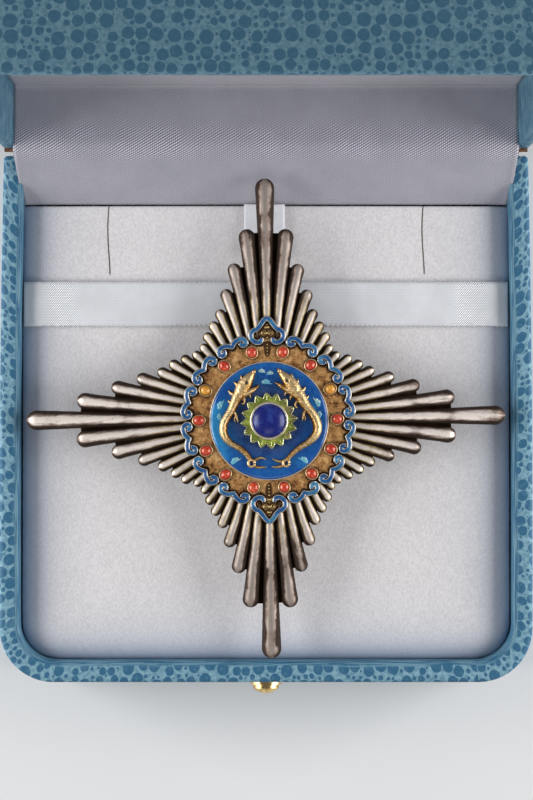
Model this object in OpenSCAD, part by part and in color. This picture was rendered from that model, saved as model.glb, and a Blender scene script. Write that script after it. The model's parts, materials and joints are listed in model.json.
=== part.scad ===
// A rayed breast star lying in its hinged presentation case, in millimetres.
// The origin is the centre of the case's underside, X to the right, Y to the hinge, Z up.
// The lid stands open; it turns about the rod behind the base's back wall.

/* [Case base] */
// Outside width of the case
case_w = 102.6; // [98:0.2:130]
// Outside depth of the case, front to back
case_d = 101.9; // [98:0.2:130]
// Height of the base up to its rim
base_h = 22; // [16:0.5:40]
// Wall of the base at the sides and the back
side_wall = 3.8; // [2.6:0.1:5]
// Wall of the base at the front
front_wall = 4.2; // [2.6:0.1:5]
// Thickness of the base's floor
floor_t = 2.4; // [1.5:0.1:5]
// Outside radius of the two front corners
corner_r = 10.4; // [8:0.1:14]
// Inside radius of the base's front corners
inner_r = 7.2; // [5:0.1:10]

/* [Lid] */
// Height of the lid from its rim to its top
lid_h = 15.2; // [14:0.1:30]
// Wall of the lid
lid_wall = 2.4; // [1.8:0.1:3.4]
// Thickness of the lid's top panel
lid_top = 2.2; // [1.5:0.1:4]
// Thickness of the satin lining with its card
lining_t = 1.2; // [1:0.1:2]
// Angle at which the lid stands open
lid_open = 90; // [80:1:100]
// Gap between the two rims when the case is shut
rim_gap = 0.3; // [0.2:0.05:0.8]

/* [Hinge] */
// Length of the hinge along the back
hinge_w = 98; // [60:1:98]
// Outside radius of the knuckles
knuckle_r = 0.9; // [0.8:0.05:1.4]
// Radius of the hinge rod
rod_r = 0.45; // [0.3:0.05:0.5]
// Running clearance round the rod
rod_clear = 0.05; // [0.02:0.01:0.08]
// Height of each hinge leaf
leaf_h = 6.5; // [4:0.1:10]
// Thickness of each hinge leaf
leaf_t = 0.4; // [0.3:0.05:0.6]
// Number of knuckles, shared out in turn
knuckles = 5; // [3:2:9]
// How far the rod stands out of the knuckles at each end
rod_proud = 1.6; // [0.4:0.1:2]

/* [Push button] */
// Radius of the fixed collar
collar_r = 3.1; // [2.4:0.1:3.6]
// Thickness of the fixed collar
collar_t = 0.7; // [0.5:0.1:1.2]
// Radius of the button's dome
button_r = 2.55; // [1.8:0.05:2.8]
// How far the button stands out of the front wall
button_out = 2.6; // [1.8:0.1:4]
// Depth of the button's axis below the rim
button_drop = 5.5; // [4.5:0.1:10]

/* [Pad] */
// Depth of the pad's top below the rim
pad_drop = 3; // [2:0.1:6]
// Radius by which the pad's edges roll down
pad_roll = 3.5; // [2:0.1:5]
// Gap between the pad and the walls
pad_gap = 0.3; // [0.2:0.05:0.6]
// Distance of the pad's rear edge from the case's back
pad_back = 9.25; // [8:0.05:11]
// Distance of each slit from the pad's middle
slit_x = 30.6; // [20:0.1:36]
// Length of each slit from the rear edge
slit_len = 13.6; // [5:0.1:14]
// Width of each slit
slit_w = 0.3; // [0.2:0.05:1]
// Depth of each slit
slit_deep = 2; // [1:0.1:4]
// Width of the satin ribbon across the pad
ribbon_w = 8.7; // [5:0.1:12]
// Distance of the ribbon's middle behind the case's middle
ribbon_y = 22.3; // [20:0.1:23]
// Thickness of the ribbon and the tab
ribbon_t = 1; // [1:0.1:1.6]
// Width of the pull tab
tab_w = 7.9; // [4:0.1:12]
// Length of the pull tab from the pad's rear edge
tab_len = 10; // [6:0.1:10.5]
// Place of the tab's middle to the right of the case's middle
tab_x = -0.3; // [-3:0.1:3]
// Height of the rear satin's upper edge above the rim
lining_rise = 1.5; // [0.5:0.1:1.8]

/* [Star] */
// Reach of the four long arms from the middle
arm_r = 46.1; // [38:0.1:46.4]
// Rays in each quarter
quarter_rays = 15; // [11:1:17]
// Width of a long ray just before its round tip
ray_tip_w = 3.75; // [2.5:0.05:4.5]
// Width of a ray at the medallion's edge
ray_root_w = 1.72; // [1.2:0.02:1.9]
// Thickness of the sheet that joins the rays
web_t = 0.6; // [0.4:0.05:0.7]
// Height of a ray's straight sides
ray_side_h = 0.35; // [0.2:0.05:0.5]
// Height of the star's underside above the pad
star_lift = 5.2; // [4:0.1:6]
// Place of the star's middle to the right of the case's middle
star_x = 0; // [-1:0.1:1]
// Place of the star's middle behind the case's middle
star_y = 0.1; // [-1:0.1:0.5]
// Turn of the star as it lies
star_turn = 0.7; // [-3:0.1:3]

/* [Medallion] */
// Place of the medallion to the right of the rays' middle
medal_x = 0.4; // [-0.5:0.1:0.5]
// Place of the medallion behind the rays' middle
medal_y = -0.4; // [-0.5:0.1:0.5]
// Thickness of the gilt plate
plate_t = 1; // [0.6:0.1:1.6]
// Radius of the blue enamel disc
disc_r = 11.2; // [10:0.1:11.4]
// Width of the rim round the disc
disc_rim_w = 0.45; // [0.3:0.05:0.6]
// Height of the disc's rim and the stones' cups above the plate
cup_h = 0.6; // [0.4:0.05:1]
// Height of the enamel's edge above the plate
disc_edge_h = 0.45; // [0.3:0.05:0.5]
// Height by which the enamel crowns
disc_crown = 0.3; // [0.1:0.05:0.6]
// Height of the dragons' backs above the enamel
dragon_h = 1.35; // [0.8:0.05:1.6]
// Sideways shift of the left dragon from the right one's mirror image
dragon_shift = 0.3; // [0:0.05:0.4]
// Radius of the scrolled border at the crest of its lobes
border_r = 16.3; // [16.1:0.1:17.5]
// Width of the border's metal ridge
ridge_w = 0.9; // [0.8:0.05:1]
// Height of the border's ridge above the plate
ridge_h = 0.55; // [0.3:0.05:1]
// Width of the border's enamel line
line_w = 0.65; // [0.4:0.05:0.7]
// Height of the enamel line above its ridge
line_h = 0.2; // [0.1:0.05:0.4]
// Reach of the two pointed heads from the middle
head_r = 19.5; // [19:0.1:20.5]

/* [Stones] */
// Number of small stones in the ring
stones = 14; // [14:1:14]
// Radius of the circle that the stones stand on
stone_ring_r = 13.25; // [13:0.05:13.3]
// Radius of a small stone
stone_r = 0.95; // [0.6:0.05:1]
// Height of a small stone's dome
stone_crown = 0.65; // [0.3:0.05:0.9]
// Wall of a stone's cup
cup_wall = 0.22; // [0.15:0.01:0.3]
// Radius of the middle stone
cab_r = 3.15; // [2:0.05:3.4]
// Height of the middle stone's girdle
cab_girdle = 1; // [0.6:0.1:1.6]
// Height of the middle stone's dome
cab_crown = 1.3; // [0.6:0.1:2]
// Wall of the middle stone's bezel
bezel_wall = 0.42; // [0.3:0.02:0.5]
// Height of the bezel
bezel_h = 1.25; // [0.8:0.05:1.6]
// Reach of the rosette's points
petal_tip_r = 5.3; // [4.6:0.1:5.6]
// Radius of the rosette's notches
petal_notch_r = 4.4; // [4.2:0.1:4.5]
// Number of the rosette's points
petals = 16; // [8:1:24]
// Thickness of the rosette
petal_t = 0.5; // [0.3:0.05:0.8]

/* [Star pin] */
// Half the distance between the pin's two blocks
pin_reach = 13; // [8:0.1:14]
// Radius of the pin's bar
pin_r = 0.6; // [0.4:0.05:0.9]
// Width of the pin's blocks
pin_block_w = 3; // [2:0.1:5]

/* [Hidden] */
stone_nodes = [for (i = [1:stones]) str("stone_", i)];
$fn = 48;
eps = 0.01;
seat = 0.05;

// Case places
back_y = case_d / 2;
base_in_x = case_w / 2 - side_wall;
base_back_in_y = back_y - side_wall;
base_front_in_y = -back_y + front_wall;
pad_top_z = base_h - pad_drop;
pad_x = base_in_x - pad_gap;
pad_rear_y = back_y - pad_back;
pad_front_y = base_front_in_y + pad_gap;
hinge_gap = 0.2;
hinge_y = back_y + hinge_gap + knuckle_r;
hinge_z = base_h + rim_gap / 2;
knuckle_w = hinge_w / knuckles;
lid_in_x = case_w / 2 - lid_wall;
lid_rim_z = base_h + rim_gap;
lid_panel_z = lid_rim_z + lid_h - lid_top;
button_z = base_h - button_drop;
stem_r = button_r / 2;
stem_clear = 0.1;

// Star places, in the star's own frame: Z is 0 at the underside of the rays
rays = 4 * quarter_rays;
ray_step = 360 / rays;
ray_start_r = 12;
boss_r = 14.6;
tip_reach = arm_r - ray_tip_w / 2;
rise_share = 0.46;
seat_rise = 0.25;
seat_z = ray_side_h + rise_share * ray_w(head_r + ridge_w) + seat_rise;
plate_z = seat_z + plate_t;
disc_top_z = plate_z + disc_edge_h + disc_crown;
petal_z = disc_top_z + petal_t;
star_z = pad_top_z + star_lift;
pitch = 360 / stones;
cup_r = stone_r + seat + cup_wall;

// Border scrolls: half of one brace, from its inward point out to its rolled end. The angles are
// where its lobe begins and where its roll begins and ends
half_pitch = border_r * sin(pitch / 2);
scroll_r = 0.5;
lobe_r = 0.27 * half_pitch;
lobe_x = 0.5 * half_pitch;
swell_r = 0.7 * half_pitch;
swell_a = acos(lobe_x / swell_r);
lobe_a = 68;
roll_a = [-38, -190];

// Pointed head: its right flank as places right of and below the point, then its lobe and roll
head_flank = [[0, 0], [0.5, -0.35], [1, -0.95], [1.4, -1.55]];
head_lobe_place = [1.85, -3.4];
head_lobe_r = 1.27;
head_lobe_a = [70, 0];
head_roll_a = [-26, -112];

// Steps along each arc of the border, and the blunt ends' length as a share of a band's width
arc_steps = 3;
roll_steps = 4;
blunt = 0.4;

// Length of a ray as a share of the long arms, by its angle from the nearest arm
tip_shares = [[0, 1], [6, 0.795], [12, 0.659], [18, 0.563], [24, 0.495],
              [30, 0.464], [36, 0.438], [42, 0.411], [45, 0.405]];

// Dragon on the right, from its snout to its tail. Columns: x, y and width, as shares of the
// disc's radius
dragon_body = [[0.154, 0.879, 0.027], [0.179, 0.853, 0.067], [0.219, 0.813, 0.107],
               [0.263, 0.763, 0.152], [0.313, 0.705, 0.205], [0.362, 0.647, 0.223],
               [0.415, 0.589, 0.196], [0.473, 0.527, 0.161], [0.531, 0.446, 0.147],
               [0.589, 0.335, 0.138], [0.661, 0.230, 0.134], [0.741, 0.134, 0.134],
               [0.813, 0.018, 0.134], [0.848, -0.105, 0.134], [0.830, -0.232, 0.129],
               [0.759, -0.348, 0.121], [0.643, -0.415, 0.107], [0.545, -0.455, 0.098],
               [0.446, -0.512, 0.085], [0.379, -0.589, 0.067], [0.344, -0.661, 0.054],
               [0.321, -0.714, 0.045]];

// The dragon's jaw, legs, spikes and fork, in the same columns
dragon_limbs = [[[0.362, 0.630, 0.090], [0.268, 0.616, 0.080], [0.196, 0.625, 0.054],
                 [0.125, 0.646, 0.022]],
                [[0.580, 0.400, 0.063], [0.530, 0.365, 0.050], [0.490, 0.318, 0.040],
                 [0.456, 0.310, 0.022]],
                [[0.680, 0.190, 0.063], [0.620, 0.120, 0.050], [0.585, 0.050, 0.040],
                 [0.574, 0.008, 0.022]],
                [[0.330, 0.700, 0.090], [0.365, 0.755, 0.055], [0.387, 0.795, 0.018]],
                [[0.410, 0.610, 0.100], [0.468, 0.660, 0.060], [0.512, 0.702, 0.018]],
                [[0.500, 0.490, 0.090], [0.570, 0.528, 0.055], [0.624, 0.556, 0.018]],
                [[0.560, 0.380, 0.080], [0.610, 0.388, 0.050], [0.652, 0.391, 0.018]],
                [[0.250, -0.735, 0.036], [0.161, -0.700, 0.040], [0.062, -0.688, 0.018]],
                [[0.250, -0.750, 0.036], [0.161, -0.780, 0.040], [0.062, -0.797, 0.018]]];
dragon_ring = [0.297, -0.743];
dragon_ring_r = 0.066;
dragon_hole_r = 0.030;

// Steps of the dragon's relief. Columns: top as a share of its height, width as a share of the body
dragon_steps = [[0.45, 1], [0.72, 0.82], [0.9, 0.58], [1, 0.34]];

// Width of a ray at radius r, in a straight taper that stops at the long rays' tips
function ray_w(r) = ray_root_w + (ray_tip_w - ray_root_w)
    * min(1, max(-0.2, (r - border_r) / (tip_reach - border_r)));

// Reach of ray i from the star's middle
function arm_angle(i) = let (a = (i * ray_step) % 90) min(a, 90 - a);
function tip_r(i) = arm_r * lookup(arm_angle(i), tip_shares);

// A point at radius r and angle a
function polar(r, a) = [r * cos(a), r * sin(a)];

// Points along an arc, both ends included
function arc_points(c, r, a0, a1, n) =
    [for (i = [0:n]) c + polar(r, a0 + (a1 - a0) * i / n)];

// Rows of numbers made smooth: n steps from each row to the next along a Catmull-Rom curve
function clamp_row(rows, i) = rows[max(0, min(len(rows) - 1, i))];
function smooth_row(p, q, r, s, t) = 0.5 * (2 * q + (r - p) * t
    + (2 * p - 5 * q + 4 * r - s) * t * t + (3 * q - p - 3 * r + s) * t * t * t);
function smooth(rows, n) = concat([for (i = [0:len(rows) - 2]) for (k = [0:n - 1])
    smooth_row(clamp_row(rows, i - 1), rows[i], rows[i + 1], clamp_row(rows, i + 2), k / n)],
    [rows[len(rows) - 1]]);

// Unit normal to the left of a path at its point i
function path_normal(pts, i) = let (d = clamp_row(pts, i + 1) - clamp_row(pts, i - 1))
    [-d[1], d[0]] / norm([d[0], d[1]]);

// Outline of a band of width w along an open path, with blunt ends
function path_side(pts, w) = [for (i = [0:len(pts) - 1]) pts[i] + path_normal(pts, i) * w];
function path_end(pts, i, w) = pts[i] + (i == 0 ? -1 : 1) * w
    * [path_normal(pts, i)[1], -path_normal(pts, i)[0]];
function reversed(pts) = [for (i = [len(pts) - 1:-1:0]) pts[i]];
function band_outline(pts, w) = concat([path_end(pts, 0, w * blunt)], path_side(pts, w / 2),
    [path_end(pts, len(pts) - 1, w * blunt)], reversed(path_side(pts, -w / 2)));

// Right half of a brace of the border, standing on the circle of radius border_r
function brace_lobe() = concat(
    arc_points([lobe_x, border_r - swell_r], swell_r, 180 - swell_a, 90, arc_steps),
    arc_points([lobe_x, border_r - lobe_r], lobe_r, lobe_a, 0, arc_steps));
function brace_roll() = arc_points([lobe_x + lobe_r - scroll_r, border_r - lobe_r],
    scroll_r, roll_a[0], roll_a[1], roll_steps);

// Right half of a pointed head, from its point down to its rolled end
function head_arc(a, n) = arc_points([0, head_r] + head_lobe_place, head_lobe_r, a[0], a[1], n);
function head_lobe() = concat([for (p = head_flank) [0, head_r] + p], head_arc(head_lobe_a, arc_steps + 1));
function head_roll() = head_arc(head_roll_a, roll_steps);

// Border piece k: even halves of a circle start with a pointed head
function is_head(k) = k % (stones / 2) == 0;
function lobe_path(k) = is_head(k) ? head_lobe() : brace_lobe();
function half_path(k) = concat(lobe_path(k), is_head(k) ? head_roll() : brace_roll());
function mirrored(pts) = [for (i = [len(pts) - 1:-1:1]) [-pts[i][0], pts[i][1]]];
function turned(pts, a) = [for (p = pts) [p[0] * cos(a) + p[1] * sin(a), p[1] * cos(a) - p[0] * sin(a)]];

// Outline of a part of a dragon at a share of its width
function limb_outline(rows, share) = concat(
    [for (i = [0:len(rows) - 1]) rows_place(rows, i) + path_normal(rows, i) * rows[i][2] * share / 2],
    [for (i = [len(rows) - 1:-1:0]) rows_place(rows, i) - path_normal(rows, i) * rows[i][2] * share / 2]);
function rows_place(rows, i) = [rows[i][0], rows[i][1]];

// Faces of a closed sweep of n rings with m points each, the rings running away from the viewer
function sweep_faces(n, m) = concat(
    [for (i = [0:n - 2]) for (j = [0:m - 1])
        [i * m + j, i * m + (j + 1) % m, (i + 1) * m + (j + 1) % m, (i + 1) * m + j]],
    [[for (j = [m - 1:-1:0]) j]], [[for (j = [0:m - 1]) (n - 1) * m + j]]);

// Outline of the case in plan: square corners at the back, round ones at the front
module case_plan(w, d, r) {
    translate([-w / 2, -d / 2 + r]) square([w, d - r]);
    translate([-w / 2 + r, -d / 2]) square([w - 2 * r, r + 1]);
    for (s = [-1, 1]) translate([s * (w / 2 - r), -d / 2 + r]) circle(r);
}

// The lid and what rides on it are modelled shut and turned open about the hinge rod
module at_open_lid() {
    translate([0, hinge_y, hinge_z]) rotate([-lid_open, 0, 0])
        translate([0, -hinge_y, -hinge_z]) children();
}

module at_star() {
    translate([star_x, star_y, star_z]) rotate([0, 0, star_turn]) children();
}

// The medallion was riveted a little off the rays' middle
module at_medallion() {
    at_star() translate([medal_x, medal_y, 0]) children();
}

module base_tray() {
    inner_d = base_back_in_y - base_front_in_y;
    color("cadetblue") difference() {
        linear_extrude(base_h) case_plan(case_w, case_d, corner_r);
        translate([0, (base_back_in_y + base_front_in_y) / 2, floor_t])
            linear_extrude(base_h) case_plan(2 * base_in_x, inner_d, inner_r);
        translate([0, -back_y - 1, button_z]) rotate([-90, 0, 0])
            cylinder(h = front_wall + 2, r = stem_r + stem_clear);
    }
}

// One ring of the pad's outline, drawn in by inset at the sides and the front
pad_arc = 6;
function pad_ring(inset, z) =
    let (x = pad_x - inset, y0 = pad_front_y + inset, r = inner_r - pad_gap - inset)
    [for (p = concat(arc_points([x - r, y0 + r], r, -90, 0, pad_arc),
                     [[x, pad_rear_y], [-x, pad_rear_y]],
                     arc_points([-x + r, y0 + r], r, 180, 270, pad_arc))) [p[0], p[1], z]];

module pad() {
    roll_steps = 5;
    under = concat([pad_ring(0, floor_t)],
        [for (k = [0:roll_steps]) let (a = 90 * k / roll_steps)
            pad_ring(pad_roll * (1 - cos(a)), pad_top_z - pad_roll * (1 - sin(a)))]);
    points = [for (ring = under) for (p = ring) p];
    color("gainsboro") difference() {
        polyhedron(points, sweep_faces(len(under), len(under[0])));
        for (s = [-1, 1])
            translate([s * slit_x - slit_w / 2, pad_rear_y - slit_len, pad_top_z - slit_deep])
                cube([slit_w, slit_len + 1, slit_deep + 1]);
    }
}

// Satin ribbon: flat across the pad, its ends following the rolled edges down
module pad_ribbon() {
    ease = 4;
    end_a = acos(pad_roll / (pad_roll + ribbon_t)) + ease;
    cx = pad_x - pad_roll;
    cz = pad_top_z - pad_roll;
    outer = concat(arc_points([cx, cz], pad_roll + ribbon_t, end_a, 90, pad_arc),
                   arc_points([-cx, cz], pad_roll + ribbon_t, 90, 180 - end_a, pad_arc));
    inner = concat(arc_points([-cx, cz], pad_roll, 180 - end_a, 90, pad_arc),
                   arc_points([cx, cz], pad_roll, 90, end_a, pad_arc));
    color("white") translate([0, ribbon_y + ribbon_w / 2, 0]) rotate([90, 0, 0])
        linear_extrude(ribbon_w) polygon(concat(outer, inner));
}

module pull_tab() {
    color("white") translate([tab_x - tab_w / 2, pad_rear_y - tab_len, pad_top_z])
        cube([tab_w, tab_len, ribbon_t]);
}

// Rear satin: a sloping strip from behind the pad's edge up over the back wall's inner edge
module base_lining() {
    low_y = pad_rear_y + pad_gap;
    high_y = back_y - lid_wall - lining_t - pad_gap;
    low_z = pad_top_z - lining_t;
    high_z = base_h + lining_rise;
    color("lavender") translate([-pad_x, 0, 0]) rotate([90, 0, 90])
        linear_extrude(2 * pad_x) polygon([[low_y, low_z], [base_back_in_y - pad_gap, base_h - lining_t],
            [base_back_in_y - pad_gap, base_h + pad_gap], [high_y, base_h + pad_gap],
            [high_y, high_z], [low_y, low_z + lining_t]]);
}

// One hinge leaf, modelled with its plate above the rod; odd is 0 or 1 for its share of the knuckles
module hinge_leaf(odd) {
    color("gray") difference() {
        union() {
            translate([-hinge_w / 2, back_y, hinge_z + knuckle_r + 2 * hinge_gap])
                cube([hinge_w, leaf_t, leaf_h - knuckle_r - 2 * hinge_gap]);
            for (k = [odd:2:knuckles - 1]) translate([-hinge_w / 2 + (k + 0.5) * knuckle_w, 0, 0]) {
                translate([-knuckle_w / 2 + hinge_gap / 2, back_y, hinge_z + rod_r])
                    cube([knuckle_w - hinge_gap, leaf_t, knuckle_r + 2 * hinge_gap]);
                translate([-knuckle_w / 2 + hinge_gap / 2, hinge_y, hinge_z]) rotate([0, 90, 0])
                    cylinder(h = knuckle_w - hinge_gap, r = knuckle_r);
            }
        }
        translate([-hinge_w, hinge_y, hinge_z]) rotate([0, 90, 0])
            cylinder(h = 2 * hinge_w, r = rod_r + rod_clear);
    }
}

module hinge_leaf_base() {
    translate([0, 0, hinge_z]) mirror([0, 0, 1]) translate([0, 0, -hinge_z]) hinge_leaf(0);
}

module hinge_leaf_lid() {
    at_open_lid() hinge_leaf(1);
}

module hinge_rod() {
    color("sienna") translate([-hinge_w / 2 - rod_proud, hinge_y, hinge_z]) rotate([0, 90, 0])
        cylinder(h = hinge_w + 2 * rod_proud, r = rod_r);
}

module button_collar() {
    color("gold") translate([0, -back_y, button_z]) rotate([90, 0, 0]) difference() {
        cylinder(h = collar_t, r = collar_r);
        translate([0, 0, -1]) cylinder(h = collar_t + 2, r = button_r + stem_clear);
    }
}

// Push button: a stem in the front wall and a domed head, with a shut gap to its collar
module push_button() {
    cap_share = 0.45;
    cap_h = button_r * cap_share;
    ball_r = (button_r * button_r + cap_h * cap_h) / (2 * cap_h);
    color("gold") translate([0, -back_y, button_z]) rotate([90, 0, 0]) {
        translate([0, 0, -front_wall]) cylinder(h = front_wall + 1, r = stem_r);
        translate([0, 0, stem_clear]) cylinder(h = button_out - cap_h - stem_clear, r = button_r);
        intersection() {
            translate([0, 0, button_out - cap_h]) cylinder(h = 2 * cap_h, r = button_r);
            translate([0, 0, button_out - ball_r]) sphere(ball_r);
        }
    }
}

module lid_shell() {
    color("cadetblue") at_open_lid() difference() {
        translate([0, 0, lid_rim_z]) linear_extrude(lid_h) case_plan(case_w, case_d, corner_r);
        translate([0, 0, lid_rim_z - 1]) linear_extrude(lid_h - lid_top + 1)
            case_plan(2 * lid_in_x, case_d - 2 * lid_wall, corner_r - lid_wall);
    }
}

// Lid lining: satin over card against the top panel and the lid's back wall
module lid_lining() {
    half_w = lid_in_x - pad_gap;
    color("lavender") at_open_lid() {
        translate([0, 0, lid_panel_z - lining_t]) linear_extrude(lining_t)
            case_plan(2 * half_w, case_d - 2 * lid_wall, corner_r - lid_wall);
        translate([-half_w, back_y - lid_wall - lining_t, lid_rim_z + pad_gap])
            cube([2 * half_w, lining_t, lid_h - lid_top - pad_gap]);
    }
}

// One ray: a round-backed bar that widens outwards and ends in a round tip
ray_sides = 5;
tip_angles = [0, 35, 62, 84];
function ray_ring(r, share, w) = concat([[r, -share * w / 2, 0]],
    [for (j = [0:ray_sides]) let (a = 180 * j / ray_sides)
        [r, -share * cos(a) * w / 2, share * (ray_side_h + rise_share * w * sin(a))]],
    [[r, share * w / 2, 0]]);

module ray(reach) {
    w = ray_w(reach);
    rings = concat([ray_ring(ray_start_r, 1, ray_w(ray_start_r))],
        [for (a = tip_angles) ray_ring(reach - w / 2 * (1 - sin(a)), cos(a), w)]);
    polyhedron([for (ring = rings) for (p = ring) p], sweep_faces(len(rings), len(rings[0])));
}

// The rays on one sheet, stepped back between neighbours, with a boss that seats the medallion
module star_rays() {
    web_back = 0.9;
    web = [for (i = [0:rays - 1]) let (r = min(tip_r(i), tip_r(i + 1)) - web_back)
        for (a = [i, i + 1]) polar(r, a * ray_step)];
    color("silver") at_star() {
        linear_extrude(web_t) polygon(web);
        translate([medal_x, medal_y, 0]) cylinder(h = seat_z, r = boss_r);
        for (i = [0:rays - 1]) rotate([0, 0, i * ray_step]) ray(tip_r(i));
    }
}

// Hidden pin: two blocks and a bar in one piece, which stand on the pad
module star_pin() {
    bar_drop = 0.62;
    bar_z = -star_lift * bar_drop;
    color("darkgray") at_star() {
        for (s = [-1, 1]) translate([-pin_block_w / 2, s * pin_reach - pin_block_w / 2, -star_lift])
            cube([pin_block_w, pin_block_w, star_lift]);
        translate([0, pin_reach, bar_z]) rotate([90, 0, 0]) cylinder(h = 2 * pin_reach, r = pin_r);
    }
}

// The border's band: braces round the ring and a pointed head above and below
module border_band(w) {
    for (k = [0:stones - 1])
        polygon(turned(band_outline(concat(mirrored(half_path(k)), half_path(k)), w), k * pitch));
}

// Outline of the plate: the lobes' outer edges, joined by a valley between neighbours
function lobe_edge(k, w) = path_side(concat(mirrored(lobe_path(k)), lobe_path(k)), w);
module plate_plan() {
    proud = 0.08;
    edge = ridge_w / 2 + proud;
    valley = polar(border_r - lobe_r, 90 + pitch / 2);
    polygon([for (k = [0:stones - 1]) for (p = turned(concat([valley], lobe_edge(k, edge)), k * pitch)) p]);
}

// A circle of radius r at each small stone
module stone_circles(r) {
    for (k = [0:stones - 1]) rotate((k + 0.5) * pitch) translate([0, stone_ring_r]) circle(r);
}

module medallion() {
    color("darkgoldenrod") at_medallion() {
        translate([0, 0, seat_z]) linear_extrude(plate_t) plate_plan();
        translate([0, 0, plate_z - eps]) linear_extrude(ridge_h + eps) border_band(ridge_w);
        translate([0, 0, plate_z - eps]) linear_extrude(cup_h + eps) difference() {
            union() {
                circle(disc_r + disc_rim_w);
                stone_circles(cup_r);
            }
            circle(disc_r);
            stone_circles(stone_r + seat);
        }
    }
}

module border_enamel() {
    color("royalblue") at_medallion() translate([0, 0, plate_z + ridge_h])
        linear_extrude(line_h) border_band(line_w);
}

// Blue disc: a straight edge and a crown in two slopes, as shares of its radius and its crown
module disc_enamel() {
    slopes = [[1 - seat / disc_r, 0], [0.75, 0.6], [0.5, 1], [0, 1]];
    color("mediumblue") at_medallion() translate([0, 0, plate_z]) rotate_extrude()
        polygon(concat([[0, 0], [disc_r - seat, 0]],
                       [for (p = slopes) [p[0] * disc_r, disc_edge_h + p[1] * disc_crown]]));
}

// Cast dragon: the lowest step carries its limbs, spikes and tail ring
module dragon() {
    body = smooth(dragon_body, 2) * disc_r;
    translate([0, 0, disc_top_z + seat]) {
        linear_extrude(dragon_steps[0][0] * dragon_h) {
            polygon(limb_outline(body, 1));
            for (limb = dragon_limbs) polygon(limb_outline(limb * disc_r, 1));
            difference() {
                translate(dragon_ring * disc_r) circle(dragon_ring_r * disc_r);
                translate(dragon_ring * disc_r) circle(dragon_hole_r * disc_r);
            }
        }
        for (k = [1:len(dragon_steps) - 1]) translate([0, 0, dragon_steps[k - 1][0] * dragon_h])
            linear_extrude((dragon_steps[k][0] - dragon_steps[k - 1][0]) * dragon_h)
                polygon(limb_outline(body, dragon_steps[k][1]));
    }
}

module dragon_right() {
    color("goldenrod") at_medallion() dragon();
}

module dragon_left() {
    color("goldenrod") at_medallion() translate([-dragon_shift, 0, 0]) mirror([1, 0, 0]) dragon();
}

module petal_rosette() {
    color("yellowgreen") at_medallion() translate([0, 0, disc_top_z]) linear_extrude(petal_t)
        polygon([for (k = [0:petals - 1]) for (s = [0, 0.5])
            polar(s == 0 ? petal_tip_r : petal_notch_r, (k + s) * 360 / petals)]);
}

module bezel() {
    color("wheat") at_medallion() translate([0, 0, petal_z]) difference() {
        cylinder(h = bezel_h, r = cab_r + seat + bezel_wall);
        translate([0, 0, -1]) cylinder(h = bezel_h + 2, r = cab_r + seat);
    }
}

// A domed stone: a short cylinder under a cap of a ball
module domed_stone(r, girdle, crown) {
    ball_r = (r * r + crown * crown) / (2 * crown);
    cylinder(h = girdle, r = r);
    intersection() {
        cylinder(h = girdle + crown, r = r);
        translate([0, 0, girdle + crown - ball_r]) sphere(ball_r);
    }
}

module cabochon() {
    color("navy") at_medallion() translate([0, 0, petal_z]) domed_stone(cab_r, cab_girdle, cab_crown);
}

// Small stone k, counted from the first one clockwise of the upper head
amber_places = [2, 11];
module stone(k) {
    amber = len([for (a = amber_places) if (a == k) a]) > 0;
    color(amber ? "orange" : "orangered") at_medallion() rotate(-(k + 0.5) * pitch)
        translate([0, stone_ring_r, plate_z]) domed_stone(stone_r, cup_h, stone_crown);
}

base_tray();
pad();
pad_ribbon();
pull_tab();
base_lining();
hinge_leaf_base();
hinge_leaf_lid();
hinge_rod();
button_collar();
push_button();
lid_shell();
lid_lining();
star_rays();
star_pin();
medallion();
border_enamel();
disc_enamel();
dragon_left();
dragon_right();
petal_rosette();
bezel();
cabochon();
for (k = [0:stones - 1]) stone(k);
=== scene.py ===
"""A rayed breast star in its open presentation case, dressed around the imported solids."""

import json
import math

import bpy
import numpy as np
from bpy.props import FloatProperty, FloatVectorProperty, PointerProperty
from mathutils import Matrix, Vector
from mathutils.kdtree import KDTree


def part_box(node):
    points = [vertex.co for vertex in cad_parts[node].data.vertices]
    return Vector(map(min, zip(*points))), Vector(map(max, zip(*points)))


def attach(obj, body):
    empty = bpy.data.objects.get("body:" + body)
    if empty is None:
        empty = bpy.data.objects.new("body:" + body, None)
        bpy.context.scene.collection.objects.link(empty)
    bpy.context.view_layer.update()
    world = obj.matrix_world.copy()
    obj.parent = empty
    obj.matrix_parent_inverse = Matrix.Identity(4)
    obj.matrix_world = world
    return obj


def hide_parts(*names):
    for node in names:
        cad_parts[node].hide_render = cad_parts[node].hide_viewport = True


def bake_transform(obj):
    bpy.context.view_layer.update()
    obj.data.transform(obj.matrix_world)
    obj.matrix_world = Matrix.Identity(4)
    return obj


bl_info = {
    "name": "Breast Star in its Case",
    "version": (1, 0, 0),
    "blender": (4, 5, 0),
    "location": "View3D > Sidebar > Breast Star",
    "description": "Covers the case, pads and lines it, and finishes the star that lies in it",
    "category": "Object",
}

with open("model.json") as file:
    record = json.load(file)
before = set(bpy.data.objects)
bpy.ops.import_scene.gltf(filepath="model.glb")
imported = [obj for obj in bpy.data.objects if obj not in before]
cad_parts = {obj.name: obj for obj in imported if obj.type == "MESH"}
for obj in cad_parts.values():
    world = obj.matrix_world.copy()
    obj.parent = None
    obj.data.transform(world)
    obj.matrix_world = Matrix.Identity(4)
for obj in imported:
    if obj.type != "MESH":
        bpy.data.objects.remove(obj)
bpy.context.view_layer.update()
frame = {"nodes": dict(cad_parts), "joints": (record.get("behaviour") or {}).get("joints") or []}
NODES = frame["nodes"]
BASE = "base_body"
LID = "lid"
MM = 0.001
SEED = 11


def box_mm(node):
    """The lowest and highest corner of a node, in millimetres."""
    low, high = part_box(node)
    return np.array(low) / MM, np.array(high) / MM


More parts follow.
